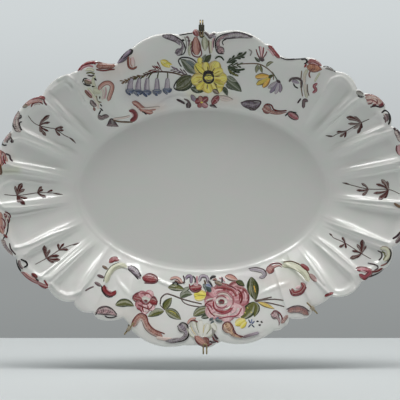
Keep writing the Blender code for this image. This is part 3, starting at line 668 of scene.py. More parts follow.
TOP_RIGHT = (
    line("brown", 1.2, (33, 123.7), (43, 124.3), (52.7, 124.4), (58.5, 123), (65.5, 118.7), (70, 113.7),
        (70.5, 108)),
    line("grey_green", 1.1, (69, 116.5), (73, 110), (76, 104.5)),
    line("rose_pale", 3.0, (58.2, 130), (58.2, 136), (57.3, 142)),
    line("wine", 1.4, (58, 128), (57.5, 135), (55.9, 142)),
    line("crimson", 1.3, (58.3, 128.5), (60, 135), (60.6, 141)),
    line("deep_red", 1.2, (57.7, 128.5), (54.7, 133.5), (53, 139)),
    line("wine", 1.2, (58.8, 129), (62.3, 133), (64, 137)),
    dab("dark_plum", 4.4, (57.8, 129.2), (59.4, 128.4)),
    leaf("dark_green", 3.2, (57, 126), (54.5, 128), (51.5, 131)),
    leaf("dark_green/moss", 4.2, (55, 123.5), (54, 119.5), (53, 115)),
    leaf("dark_green/moss", 3.4, (57, 123), (58, 119), (59.3, 115)),
    leaf("dark_green/moss", 3.4, (63, 121.5), (66.5, 125), (70.5, 126)),
    petal("brown/orange", 6.4, (67, 111.5), (59.5, 111.8), (52.3, 111)),
    petal("red_brown/orange", 5.8, (67, 110), (63.5, 105.5), (60, 100.5)),
    petal("brown/gold", 6.2, (67, 110.7), (60, 107), (53.5, 103.5)),
    line("ivory", 1.2, (64, 110), (58.5, 109), (53.5, 108)),
    line("yellow", 1.4, (63, 108.5), (58.5, 105.5), (55.5, 103.5)),
    dab("olive", 3.4, (66.8, 111), (68.4, 112)),
    petal("plum/lilac", 4.4, (75, 107), (70, 103), (65, 100)),
    petal("navy/mauve", 4.6, (75.3, 106.5), (71, 100), (67, 95.2)),
    petal("plum/lilac", 4.4, (75.8, 106), (74.5, 99.5), (72.2, 94)),
    petal("plum/mauve", 4.0, (76.3, 106), (77.5, 100.5), (77, 95.6)),
    dab("dark_plum", 3.0, (74.5, 107.2), (76.3, 106)),
    line("wine/crimson", 3.8, (65, 142), (68.5, 139.8), (73.5, 133), (76.8, 130)),
    line("rose_pale", 1.8, (64.5, 139), (67.5, 137), (71, 132)),
    line("black", 1.3, (77, 130.5), (84, 128.6), (94, 129), (100, 129.4)),
    line("black", 1.8, (98, 128.5), (102.5, 129), (104, 126), (101, 124)),
    line("crimson", 2.0, (103.5, 124), (101.3, 120.5)),
    line("cream_green>blush", 3.4, (104.5, 119), (101.5, 112), (101.5, 104.7)),
    line("blush>cream_green", 3.0, (101.8, 105), (102.2, 98), (103.8, 90)),
    line("cream_green", 2.0, (117, 115.5), (113.5, 110), (111.5, 106)),
    line("red_brown", 1.5, (107.5, 117.5), (106, 113.5), (107.5, 110)),
    line("brown", 1.0, (104.3, 104), (104.5, 98), (106, 92)),
    line("brown", 1.1, (98.7, 117.5), (97.8, 104.7), (99.5, 91.5)),
    leaf("mauve>lilac", 4.4, (88.5, 107), (92, 106.3), (96.5, 104.5)),
    line("dark_plum", 2.5, (86, 106), (88.7, 109.3), (95.3, 109.5), (98.7, 106), (98, 99.7)),
    line("black", 1.4, (90.3, 104.7), (92, 101.5), (95.3, 99.7)),
    line("wine/rose_deep", 3.0, (114.5, 104.7), (111, 102), (113, 98), (109.5, 95)),
    line("dark_plum", 1.7, (98, 89.7), (94.5, 84.7)),
    line("black/plum", 3.4, (105, 86.3), (101.3, 87.8), (100.3, 79.7)),
    leaf("dark_plum|mauve", 9.0, (38, 84.5), (44, 83.8), (51, 82.8), (57.5, 85.3)),
    leaf("dark_plum", 4.6, (44.5, 80.7), (48.5, 79.8), (52.5, 77.8)),
    line("dark_plum", 1.4, (37.5, 85), (45, 87.2), (57, 86.8), (56.3, 82.3), (51.3, 77.6)),
    comma("deep_red|salmon", 9.0, (64.1, 78.9), (68, 76.5), (76, 74.8), (84, 76)),
    line("deep_red", 1.4, (60.5, 81.5), (64, 84), (68.5, 82.6), (71, 78.5), (77, 77), (84, 77.6)),
    dab("black/rose_deep", 7.4, (87.8, 73.8), (92.3, 71)),
    line("black", 1.5, (82, 72), (86.5, 75.6), (93.5, 75.3)),
    line("rose", 1.4, (87.5, 74), (91.5, 71.8)),
)
BOTTOM_LEFT = (
    line("wine/crimson", 5.4, (-94, -74.7), (-89, -71), (-84, -72.3)),
    line("rose", 1.3, (-91.5, -72.6), (-88, -71.2)),
    dab("plum/brown", 3.2, (-99.5, -78.5), (-96.5, -80.5)),
    dab("dark_plum/plum", 3.2, (-104.5, -87.5), (-100.3, -89.2)),
    dab("dark_plum/plum", 3.4, (-107, -95), (-103, -97.3)),
    line("plum", 1.7, (-118, -103), (-113, -100), (-109, -98.5)),
    line("cream_green", 6.0, (-97.3, -95), (-94.3, -86), (-89, -79.8), (-81.5, -77.3), (-76, -79.3)),
    line("grey_green", 1.1, (-99.6, -94), (-97, -85.5), (-91.5, -78), (-84, -74.6)),
    leaf("dark_plum|lilac", 7.2, (-75.5, -78.5), (-70, -81.5), (-66, -85.5), (-62.7, -91)),
    line("black", 1.4, (-75, -81), (-69.5, -86), (-64.5, -91.5)),
    line("black", 1.2, (-72.5, -77.3), (-66, -81), (-61.7, -88.5)),
    dab("wine/crimson", 9.6, (-56, -90.3), (-51, -91)),
    line("rose", 1.7, (-58, -92.3), (-53.5, -89.6), (-49.5, -92)),
    line("rose_pale", 1.2, (-56.5, -88), (-52.5, -87.7), (-49, -89.6)),
    line("wine", 1.4, (-60.5, -89.5), (-54.5, -85.8), (-48, -87.5), (-45.3, -91.5), (-48.5, -95),
        (-59, -95)),
    leaf("wine/red_brown", 3.4, (-28.5, -92.5), (-23, -94.3), (-17.5, -94.3)),
    line("wine/crimson", 4.8, (-99, -97), (-98.3, -102), (-94, -106), (-89.5, -105.6), (-87.2, -102.5)),
    line("rose_pale", 1.3, (-96.6, -98.5), (-95.3, -102), (-91.3, -103.4)),
    line("black", 1.1, (-101.5, -97.5), (-100.6, -103.5), (-95.5, -108.8), (-90, -108.6)),
    leaf("dark_green/moss", 8.4, (-87.5, -117), (-81, -115), (-75.5, -115), (-69, -118)),
    line("dark_green", 1.0, (-85.5, -117), (-78, -115.6), (-71, -117.7)),
    leaf("dark_plum|rose_pale", 9.4, (-107.5, -125), (-100.5, -122.5), (-93.5, -123.3), (-86.3, -127.5)),
    line("crimson", 1.2, (-104, -125.5), (-98, -123.8), (-91, -125)),
    line("black", 1.4, (-107.5, -127), (-104, -121.5), (-98.5, -119), (-92, -120.3), (-86, -126.5)),
    line("black", 1.4, (-98.5, -127.5), (-95.5, -129.3), (-91, -129.6), (-86, -128)),
    line("red_brown|salmon", 6.4, (-69.5, -139), (-67, -132.3), (-62.3, -128.8), (-58.5, -132),
        (-55.7, -139), (-49.5, -144.5), (-40.5, -148.5)),
    line("blush", 1.5, (-66, -136), (-62, -131.5), (-58.5, -136.5), (-53, -143)),
    line("deep_red", 1.4, (-71.8, -139.3), (-69.5, -131.7), (-63.5, -125.8), (-57, -127.6), (-54.6, -135),
        (-49, -141.3), (-38, -146)),
    line("blush>pink", 3.6, (-47, -149.6), (-38, -151), (-30, -151.6)),
)
BOTTOM_CENTRE = (
    # stems, leaves and the yellow bud
    line("stem", 1.5, (-43, -117), (-41.7, -109.8), (-36.7, -106), (-30.5, -107.3), (-21.7, -110.7),
        (-12, -113.4), (-1, -116)),
    line("stem", 1.2, (-22, -111), (-18.5, -115), (-12, -117.5), (-4, -118.7), (5, -119)),
    line("stem", 1.0, (-43, -117), (-40, -120), (-38, -122.5)),
    leaf("dark_green/moss", 8.0, (-38.7, -122), (-36.5, -116.5), (-31.3, -109.8)),
    leaf("dark_green/moss", 8.0, (-39, -123), (-46.7, -124.3), (-55, -128.6)),
    leaf("dark_green/moss", 9.6, (-37.7, -122), (-30.5, -125.3), (-22, -131.5)),
    line("dark_green", 1.0, (-37, -121.7), (-31, -125.6), (-24.5, -130)),
    line("dark_green", 1.0, (-40.5, -123.7), (-47, -125), (-53, -127.6)),
    line("dark_green", 1.0, (-38, -119.5), (-35.5, -115), (-32.5, -111.5)),
    line("yellow", 1.0, (-35, -122.8), (-30, -124), (-26.5, -126.8)),
    leaf("dark_green/grey_green", 7.4, (-23, -109.5), (-17.5, -105.6), (-10.8, -106.5)),
    leaf("dark_green/moss", 7.4, (-35, -99.5), (-27.5, -99.3), (-18, -102)),
    line("dark_green", 1.0, (-33, -99.5), (-26, -100), (-20, -101.5)),
    leaf("dark_green/grey_green", 5.0, (-21, -105), (-17, -101.5), (-12.5, -98.8)),
    leaf("dark_green/moss", 9.4, (-9.7, -128), (-3.5, -123.6), (3.5, -121.5), (10.5, -121.5)),
    line("dark_green", 1.0, (-8, -127), (-1, -123.3), (7, -121.8)),
    leaf("dark_green", 5.2, (-2, -129.5), (4, -128), (10, -125.5)),
    dab("gold/yellow", 9.6, (-4.5, -107), (1.5, -107.5)),
    petal("gold/yellow", 6.4, (3, -107), (-2.5, -104.5), (-7.5, -103.5)),
    petal("gold/yellow", 6.4, (3, -108.5), (-2.5, -110), (-8.5, -110.3)),
    line("olive", 1.1, (4.5, -108.5), (-1, -107.5), (-7, -107.5)),
    line("black", 1.3, (2, -103.5), (6, -105.5)),
    line("black", 1.3, (3, -107), (8, -107.6)),
    line("black", 1.3, (3, -109.7), (8, -111.5)),
    # the small rose on the left
    petal("rose_deep/rose", 10.0, (-59, -114), (-64, -117), (-67, -119)),
    petal("rose/rose_pale", 10.5, (-57, -115), (-58, -120), (-58.5, -126)),
    petal("rose/rose_pale", 9.5, (-55, -114.5), (-52, -118.5), (-49.3, -121.7)),
    petal("wine/crimson", 9.5, (-60, -112), (-65, -110), (-70.7, -109.3)),
    petal("rose_deep/rose", 9.5, (-58.5, -111), (-61, -107), (-63.5, -103.5)),
    petal("rose/rose_pale", 9.5, (-56, -111), (-54, -107), (-51.5, -102.7)),
    petal("wine/crimson", 9.5, (-54, -112), (-50, -113.5), (-46, -114.8)),
    dab("rose_pale/ivory", 7.2, (-58.5, -110.6), (-55.7, -111.4)),
    line("wine", 1.5, (-70.8, -111), (-67.5, -106), (-62, -103.6)),
    line("wine", 1.4, (-67.5, -113), (-63.5, -112), (-61.3, -114.7)),
    line("crimson", 1.6, (-61.8, -110), (-60.3, -115), (-55.5, -116), (-52.5, -112)),
    line("deep_red", 1.5, (-65.5, -116.5), (-58.5, -119.6), (-53.3, -120.8), (-50, -117)),
    line("crimson", 1.4, (-59.5, -106.6), (-54.5, -105.6), (-51, -109)),
    line("wine", 1.3, (-49, -109.5), (-46, -113), (-47, -117.5)),
    line("ivory", 1.0, (-60, -122), (-57, -123.5), (-54, -122.6)),
    leaf("rose_deep", 1.6, (-63, -106), (-59, -105), (-54.5, -104.7)),
    leaf("crimson", 1.6, (-60.5, -117.5), (-60.5, -121), (-59, -124.5)),
    leaf("crimson", 1.5, (-55.5, -117), (-54.7, -120.5), (-53.7, -123)),
    leaf("wine", 1.6, (-52, -110.5), (-49.3, -108.7), (-46.6, -110.5)),
    leaf("rose_deep", 1.7, (-66.5, -120.3), (-63, -121.7), (-60.5, -125)),
    dab("wine", 2.2, (-58, -112.6), (-56.5, -112.9)),
    # the rose, from its outer petals inwards
    petal("rose/rose_pale", 18.0, (18, -116), (11, -123), (8, -130.5)),
    petal("rose/rose_pale", 19.0, (22, -117), (23.5, -125), (24, -133.5)),
    petal("rose/rose_pale", 18.0, (25, -115), (33.5, -121.5), (38.5, -128)),
    petal("rose_deep/rose", 17.0, (28, -112), (37, -111), (46.5, -112)),
    petal("crimson/rose", 18.0, (24, -108), (32, -102.5), (40, -98)),
    petal("rose_deep/crimson", 19.0, (20, -108), (21, -101), (22.5, -95.5)),
    petal("rose_deep/rose", 17.0, (15, -110), (11, -104.5), (9, -99.5)),
    petal("rose_deep/rose", 15.0, (13, -115), (6.5, -114), (1.5, -114.5)),
    petal("rose/rose_pale", 11.0, (15, -118), (9.5, -121), (5, -124)),
    dab("rose/rose_pale", 19.0, (17, -113.7), (21.5, -113.7)),
    line("wine/crimson", 3.4, (9.5, -102.5), (14, -99.7), (20.5, -98.6), (27, -100.6), (31.5, -104.5),
        (33.7, -110)),
    line("crimson", 2.6, (31, -97.8), (37.5, -100), (41.5, -101.3), (45, -107), (45.3, -112)),
    line("deep_red", 2.0, (34, -101), (38, -105), (39, -111), (37, -116)),
    line("rose_deep", 2.4, (12, -107), (18, -103.5), (25, -105), (29.8, -110.5), (29.5, -117.5)),
    line("blush", 2.0, (14.5, -107.5), (20, -105.8), (25.5, -108.5), (27.5, -113.5)),
    line("crimson", 2.2, (11, -112), (10.8, -119), (15.5, -123.3), (23, -123.8), (29, -120)),
    line("deep_red", 1.5, (1.5, -118), (5, -114), (10, -112.6)),
    line("blush", 2.2, (9.5, -126), (16, -127.3), (23, -128.3)),
    line("ivory", 1.6, (26, -127), (32, -124.5), (36, -120)),
    line("rose_deep", 1.4, (14.5, -131), (24, -129), (34, -127.4), (38.8, -120)),
    line("crimson", 1.4, (5, -119.5), (7.5, -124.5), (12, -128.5)),
    leaf("crimson", 2.2, (12, -101), (18, -99.8), (24, -100.7), (29, -103.5)),
    leaf("wine", 1.6, (24, -97.5), (30, -99.3), (34.5, -103)),
    leaf("rose_pale", 2.0, (10.5, -105), (14.5, -102.2), (20, -101.7)),
    leaf("crimson", 1.8, (35.5, -104), (37, -108.5), (36, -114)),
    leaf("rose_pale", 2.2, (41, -103.5), (42.8, -108), (41.8, -113.5)),
    leaf("wine", 1.4, (45.3, -106.5), (45.8, -111), (43.5, -116)),
    leaf("rose_deep", 2.0, (30.5, -119), (27, -123), (20.5, -125.7), (14, -125.5)),
    leaf("ivory", 1.6, (28, -117), (25, -120.4), (20, -122)),
    leaf("rose_pale", 2.2, (34, -119), (32, -123.5), (27, -126.3)),
    leaf("rose_deep", 1.8, (3.5, -115.8), (7.5, -117.8), (9.8, -122)),
    leaf("ivory", 1.4, (3, -113), (7.5, -111.2), (11, -110.8)),
    dab("rose_pale/ivory", 11.6, (18, -114), (18.8, -114)),
    line("rose_deep", 1.2, (12.2, -113), (14, -118), (19, -120), (24, -117.5)),
    line("crimson", 1.2, (13, -110.5), (15.7, -108.4), (20, -108.2), (23.3, -110.3)),
    dab("wine", 6.8, (17.6, -114), (19.2, -114)),
    dab("black", 3.4, (17.8, -114.4), (18.8, -114.4)),
    leaf("deep_red/salmon", 6.4, (22, -88.5), (28, -89.6), (35, -92.5)),
    leaf("dark_green/olive", 5.8, (33, -93.5), (37, -95), (41.5, -98)),
    # over the rose
    line("dark_plum/mauve", 3.4, (-17, -91.5), (-15.5, -88.6), (-12, -88.8), (-12, -95.5)),
    line("deep_red/salmon", 3.0, (-33, -91.5), (-28, -89.8), (-23.5, -91.5), (-21, -95)),
    line("black", 1.3, (-31, -95.5), (-27, -94), (-24.5, -97)),
    line("dark_plum", 1.5, (-19.8, -87.5), (-18.5, -92), (-19.5, -96)),
    dab("wine/crimson", 7.0, (-9.8, -99.8), (-4.7, -99.2)),
    line("wine", 1.5, (-13.8, -96), (-12, -102), (-6, -104), (-1.5, -101)),
    line("black", 1.5, (-10, -88), (-7.8, -91), (-8, -95.5)),
    line("rose", 2.0, (-6, -88), (-6.2, -92), (-5.4, -96)),
    leaf("dark_green/teal", 4.0, (0, -96), (2.5, -99.5), (2.5, -103)),
    line("brown", 1.6, (1, -92), (2.3, -95), (1, -99)),
    line("red_brown", 2.4, (9.5, -92), (12.5, -91.4), (14, -93)),
    line("rose_pale", 1.8, (16, -90), (20, -91), (22, -94)),
    dab("rose_pale", 3.0, (-8.2, -96.4), (-6.3, -97)),
    line("dark_plum/mauve", 3.4, (-3.7, -93.5), (-1.8, -88.6), (3.6, -89.2), (5.2, -95.2)),
    line("black", 1.9, (4.5, -92), (7.5, -95.5), (9.5, -99)),
    dab("blue", 3.6, (4.3, -97.4), (6.8, -98.5)),
    dab("dark_green/teal", 5.0, (5.3, -100.5), (6.5, -102.3)),
    line("black", 2.3, (7, -91.5), (9.5, -88.8), (13, -88.7)),
    dab("black/brown", 4.6, (13.7, -94.6), (17, -96)),
    line("dark_plum", 1.7, (18.8, -89), (19.4, -92), (18.7, -95)),
    # the scroll left of the shell
    comma("dark_plum|lilac", 9.4, (-20.8, -139.8), (-17.2, -144), (-18.5, -148.8), (-24, -151.8),
        (-33, -153.2)),
    leaf("dark_plum|lilac", 5.0, (-22, -150.6), (-29, -152.6), (-38, -153)),
    line("black", 1.3, (-24.3, -137), (-20.5, -134.8), (-16.2, -136.7), (-14.4, -142), (-15, -148.8),
        (-20.5, -152.8), (-33, -154.8)),
    # the shell at the bottom
    petal("cream_green/ivory", 8.0, (-5, -150), (-10, -145), (-14.5, -139)),
    petal("cream_green/ivory", 8.4, (-3, -149), (-8, -141), (-10.5, -133.5)),
    petal("ivory", 8.4, (-1.5, -149), (-3, -141), (-2.5, -132)),
    petal("cream_green/ivory", 8.0, (0, -149), (2.5, -142), (5, -135.5)),
    petal("cream_green/ivory", 7.0, (2, -149), (7, -145), (11.5, -140.5)),
    line("gold", 1.1, (-6.5, -148), (-10.5, -142.5), (-12, -138.5)),
    line("moss", 1.0, (-3.5, -146), (-5.8, -140), (-6.3, -135.5)),
    line("gold", 1.0, (0, -146), (0.6, -141), (1.4, -137)),
    line("moss", 1.0, (3, -147), (6, -143), (8, -140.5)),
    line("salmon", 2.6, (-15.5, -136), (-12.5, -132), (-7, -130.3)),
    line("deep_red", 1.3, (-14.5, -133.3), (-9, -132.6), (-5, -134.3)),
    dab("teal", 2.6, (7.3, -131.6), (9.3, -130.6)),
    dab("navy", 2.0, (13.7, -130.7), (15, -130.1)),
    line("dark_green", 1.2, (9.5, -134.3), (12.3, -137), (12.8, -141)),
    leaf("deep_red/salmon", 8.0, (-8.5, -148), (-4.5, -151.5), (1, -155.5), (6, -158)),
    leaf("wine/red_brown", 6.4, (0, -149.5), (3, -152.5), (5.5, -157.5)),
    line("salmon", 1.4, (-6, -147.6), (-1.5, -151), (3, -154.5)),
    line("deep_red", 1.6, (9.5, -148), (11.3, -152), (15.5, -154)),
    line("wine", 1.4, (-7.5, -148.5), (-6.5, -153.5), (-2, -156.6), (4, -157.6), (9.5, -155.5)),
    leaf("grey", 3.0, (9, -138), (10.5, -142.5), (9.5, -147)),
    leaf("cream_green/ivory", 6.0, (8, -134.5), (10.5, -138.5), (13.5, -143)),
    line("dark_plum", 2.2, (11.3, -145.6), (12.8, -149), (15.5, -151)),
    line("dark_plum", 1.8, (6.5, -153), (10, -154.2), (13.5, -153.3)),
    dab("teal", 3.4, (14, -132.2), (17.5, -133)),
    line("teal", 1.6, (7.5, -136), (11, -133)),
    # the scroll right of the shell
    comma("red_brown|peach_pale", 11.0, (25, -139.8), (27.5, -143.5), (31, -147), (39, -150)),
    line("wine", 1.4, (19.6, -142), (20.4, -136.4), (24.5, -133.9), (28.5, -136.5), (31.3, -143),
        (34, -146.7), (41, -149)),
    line("plum>lilac", 3.0, (40, -149.3), (47, -147.2), (56, -144.6)),
)
BOTTOM_RIGHT = (
    leaf("dark_green/olive", 12.0, (48.3, -89), (49.3, -96.5), (50.7, -104), (52.7, -112.5)),
    leaf("orange", 2.2, (50.5, -96), (51.7, -101), (52.6, -106)),
    leaf("moss", 3.0, (46.7, -97), (46.6, -102), (48, -108)),
    line("dark_green", 1.2, (48.5, -91), (49.7, -100), (51.7, -111)),
    leaf("dark_green/moss", 13.0, (51.7, -114), (48, -120), (43.5, -125.5), (38, -132)),
    leaf("dark_green/moss", 7.0, (52, -114.5), (53.5, -120), (51.3, -129)),
    line("dark_green", 1.2, (50.5, -116), (45.5, -122.5), (39.5, -131)),
    dab("yellow", 1.5, (44.2, -119.6), (45, -120.2)),
    dab("yellow", 1.5, (47.8, -124), (48.6, -124.6)),
    dab("yellow", 1.4, (41.6, -124.4), (42.3, -125)),
    petal("gold/yellow", 8.0, (42.3, -131.5), (37.5, -133.7), (32.3, -137)),
    petal("gold/yellow", 6.0, (43.3, -133.5), (40, -137), (37.5, -140)),
    line("navy", 1.2, (47.5, -135.5), (45.5, -131.3)),
    line("blue", 1.4, (48, -135.3), (49, -131)),
    line("navy", 1.2, (48.3, -136), (45, -139.5)),
    line("blue", 1.4, (48.5, -136), (51.7, -133)),
    line("navy", 1.2, (48.5, -136.5), (51.5, -139.4)),
    dab("black", 1.8, (54, -133.3), (55, -133.3)),
    dab("black", 1.8, (58.3, -133.7), (59, -134.3)),
    dab("black", 1.8, (56.3, -137), (57.2, -137)),
    line("stem", 1.3, (51, -112.7), (58, -111.5), (69, -109)),
    line("stem", 1.2, (52, -113), (62, -111.8), (72, -111.3), (81, -112.3)),
    line("stem", 1.2, (52, -113.5), (64, -114.6), (74, -116.7), (81.5, -118.7)),
    leaf("brown/gold", 4.4, (54.5, -113.7), (62.5, -117), (71.5, -120.8)),
    comma("dark_plum|rose_pale", 8.4, (72, -127.3), (75, -130), (76.4, -134), (75.8, -138)),
    line("wine", 1.4, (68, -127.5), (71.5, -122.8), (76, -124.6), (79, -129.5), (78.4, -135.5)),
    line("red_brown|pink", 3.6, (78.6, -135.5), (82, -130.6), (85, -127.3)),
    line("plum|salmon", 6.8, (84.5, -123.5), (91, -121.7), (98.5, -122.3), (105.5, -127)),
    line("dark_plum", 1.4, (83.5, -121.5), (91, -118.3), (99.5, -118.7), (106.5, -123.5)),
    line("deep_red/crimson", 3.0, (121.5, -108.3), (126, -106.3), (130.5, -104.8)),
    line("dark_plum/lilac", 4.0, (46.3, -81.3), (54, -82), (59.7, -83.8), (61, -88), (56, -89.6)),
    line("dark_plum", 1.2, (45.5, -80.5), (54, -79.7), (62, -82.6), (63.4, -88)),
    comma("wine|salmon", 8.4, (67.5, -81.6), (70.5, -79), (76, -77.6), (79, -79.5)),
    line("wine", 1.3, (64.2, -79.5), (69, -76), (76, -75.3), (80, -78)),
    line("cream_green", 6.2, (79, -77.7), (88.5, -77.3), (100.5, -84.2), (106, -93.5)),
    line("brown", 1.1, (80, -74.2), (89.5, -73.5), (101.5, -80), (108.6, -90)),
    dab("wine/crimson", 4.8, (99.7, -77.6), (104.3, -81)),
    dab("wine/crimson", 4.8, (108.3, -87.7), (112, -91.8)),
    line("wine/crimson", 4.8, (89, -100.4), (90.8, -104.6), (97, -103.4), (100.7, -98.5), (98.2, -94.6)),
    dab("rose_pale", 3.4, (94, -99.8), (96.3, -99)),
    line("wine", 1.2, (86.5, -101), (89.5, -107.3), (98.5, -106), (103.5, -99)),
)

# Sprigs on the flutes: a dotted stem with sprays of narrow leaves
SPRIG_STEMS = (
    ((-175, 72.5), (-170, 66), (-163.5, 62.3), (-153, 60), (-148, 59), (-139, 53), (-134, 50.5)),
    ((166.5, 69), (158.5, 65.5), (152, 62), (143, 57), (134, 54), (130, 51.5)),
    ((-199, -6.5), (-185, -7.5), (-165, -4.8), (-150, -5), (-144, -5.7)),
    ((197, -6), (185.5, -1.5), (165.5, -1), (150, 2.5), (141, 5)),
    ((-168, -76.5), (-156, -70), (-143.5, -62), (-133, -57.5), (-123, -54.5)),
    ((168, -71), (158.5, -65.5), (142, -55), (131, -50), (129, -47.5)),
)
SPRIG_BUDS = (
    ((-134.5, 50.6), (-131.5, 49), (-127, 44.5)),
    ((130.5, 51.7), (127, 51.8), (122.5, 52.5)),
    ((-150.5, -4.9), (-146, -5.8), (-140, -6.5)),
    ((147, 3.3), (143, 4.6), (139, 5.3)),
    ((-131, -57.2), (-127, -56), (-123, -54.5)),
    ((129.3, -48), (127.8, -46.6), (126, -45.3)),
)
# Where the leaves meet the stem, then each leaf's tip and width
SPRIG_LEAVES = (
    ((-163.5, 62.5), (
        (-153.5, 72.8, 3.0), (-159.3, 69.2, 1.8), (-153, 65.7, 1.8), (-162, 55.7, 1.8), (-157, 52.3, 2.4),
        (-154.3, 56.7, 1.6),
    )),
    ((-148, 59), ((-139.8, 60.8, 2.2), (-139.3, 57.7, 1.8), (-142.8, 52.2, 1.9))),
    ((158.5, 65.3), (
        (143.5, 70.8, 3.4), (151, 71.5, 2.0), (145, 64.3, 2.0), (154.5, 54.5, 2.6), (158.5, 59.5, 1.8),
        (150.5, 59.3, 1.8),
    )),
    ((143.3, 57.2), ((133.5, 56, 2.0), (136.8, 51.3, 2.0), (141.5, 50.5, 1.6))),
    ((-186, -7.2), (
        (-178, -16.5, 3.2), (-184.3, -14.5, 1.9), (-175.5, -10.3, 1.9), (-188, 2.2, 2.0),
        (-181, 4.8, 3.6), (-178.3, -1.2, 2.4),
    )),
    ((-165.5, -4.8), ((-157, -9, 2.2), (-161.2, 1.6, 2.2), (-159.8, -1.5, 1.8))),
    ((-155.5, -4.3), ((-150.3, -2.2, 1.6),)),
    ((185.5, -1.7), (
        (175.5, -11.5, 3.4), (170.5, -5.3, 2.0), (181.5, -10.5, 1.8), (178.5, 8.5, 3.0), (184, 7, 1.8),
        (173, 4, 2.0),
    )),
    ((165.5, -1.2), ((159.3, -7.3, 2.2), (153.5, -2.2, 1.9), (158.5, 4.8, 1.9))),
    ((-156.5, -70.2), (
        (-158.8, -57.5, 3.6), (-153, -61.7, 2.2), (-144, -67.7, 2.2), (-142.8, -71.8, 2.8),
        (-149, -74.5, 1.8),
    )),
    ((-143.8, -62.2), ((-145, -55.7, 2.0), (-139, -55.5, 1.6), (-134.8, -61.7, 1.9))),
    ((158.5, -65.5), (
        (159.3, -51.5, 3.4), (154, -56.3, 2.2), (163.3, -57.7, 1.8), (147, -70.3, 3.0), (149, -62.8, 1.9),
        (152.3, -69.8, 1.8),
    )),
    ((142.3, -55.2), ((139, -49.2, 2.0), (136, -59.2, 2.0), (143, -60.3, 1.6))),
)
SPRIG_STEM_WIDTH = 0.85
SPRIG_BUD_WIDTH = 1.7
SPRIG_LEAF_FULLNESS = 1.4


def sprig_strokes():
    """The sprigs' stems, buds and bowed leaves."""
    strokes = [line("stem", SPRIG_STEM_WIDTH, *route) for route in SPRIG_STEMS]
    strokes += [leaf("stem", SPRIG_BUD_WIDTH, *route) for route in SPRIG_BUDS]
    for (u, v), tips in SPRIG_LEAVES:
        for tu, tv, wide in tips:
            mid = (0.55 * u + 0.45 * tu, 0.55 * v + 0.45 * tv)
            bend = 0.06 * math.hypot(tu - u, tv - v)
            mid = (mid[0] + bend * math.copysign(1, u) * 0.5, mid[1] + bend * math.copysign(1, tv - v))
            strokes.append(blade("sprig", SPRIG_LEAF_FULLNESS * wide, (u, v), mid, (tu, tv)))
    return strokes


# Each motif's strokes, and how high its wide ones are moulded
MOTIFS = {
    "left_edge_scrolls": (LEFT_EDGE, 0.7),
    "right_edge_scrolls": (RIGHT_EDGE, 0.7),
    "top_left_scrolls": (TOP_LEFT, 0.5),
    "top_crest_scrolls": (TOP_CREST, 0.7),
    "top_flower_spray": (TOP_FLOWERS, 0.0),
    "top_right_scrolls": (TOP_RIGHT, 0.25),
    "lower_left_scrolls": (BOTTOM_LEFT, 0.5),
    "lower_rose_spray": (BOTTOM_CENTRE, 0.0),
    "lower_right_spray": (BOTTOM_RIGHT, 0.2),
    "flute_sprigs": (sprig_strokes(), 0.0),
}


# ---------------------------------------------------------------- the platter's surface

# A ring's place: 0 at the well's edge and 1 at the outline, or less than 0 inside the well,
# whose middle is at minus WELL_DEEP
WELL_DEEP = 1.45
WELL_MIDDLE = (-1.05, -0.75, -0.5, -0.34)
WELL_FLOOR = (-0.24, -0.16, -0.1, -0.06, -0.03)
BACK = (0.94, 0.86, 0.76, 0.64, 0.52, 0.4, 0.28, 0.18, 0.1, 0.04)
# The foot ring's section, from outside to inside: half axes of an oval, and its Y
FOOT = (
    (121.5, 79.5, -4.0), (118, 76.8, -4.0), (116.3, 75.3, -3.7), (115.6, 74.6, -2.8),
    (114.9, 73.9, -0.7), (113.9, 72.9, 0.0), (108.1, 67.1, 0.0), (107.1, 66.1, -0.7),
    (106.4, 65.4, -2.8), (105.5, 64.5, -3.8), (103, 62, -4.0),
)
UNDER_WELL = (0.75, 0.4, 0.12)  # the rings inside the foot, as shares of its last oval
MOULDED_SHARE = 0.45  # half width of the moulding under a stroke, as a share of its width
BARE_BEHIND = -0.8  # faces of the foot ring behind this Y are bare clay


def colour_attribute(data, name, values):
    """Stores a colour for every point, and makes it the mesh's active one."""
    layer = data.attributes.new(name, "FLOAT_COLOR", "POINT")
    layer.data.foreach_set("color", np.concatenate([values, np.ones((len(values), 1))], 1).ravel())
    data.color_attributes.active_color = layer


def add_mesh(name, verts, faces, material):
    """A smooth-shaded object from points in millimetres."""
    data = bpy.data.meshes.new(name)
    data.from_pydata([tuple(p) for p in world(verts)], [], faces)
    data.materials.append(material)
    data.shade_smooth()
    thing = bpy.data.objects.new(name, data)
    bpy.context.scene.collection.objects.link(thing)
    return thing


def side_faces(a, b, around):
    """Faces between two rings of points that start at a and b."""
    return [(a + j, a + (j + 1) % around, b + (j + 1) % around, b + j) for j in range(around)]


def tube_faces(base, rows, around):
    """Faces of a closed body of rings, capped at both ends: sides, then first and last cap."""
    faces = []
    for k in range(1, rows):
        faces += side_faces(base + (k - 1) * around, base + k * around, around)
    final = base + (rows - 1) * around
    return faces + [tuple(range(base, base + around)), tuple(range(final, final + around))[::-1]]


def at_depth(flat, y):
    """Points at these X and Z, and this Y."""
    return np.stack([flat[:, 0], np.broadcast_to(y, len(flat)), flat[:, 1]], 1)


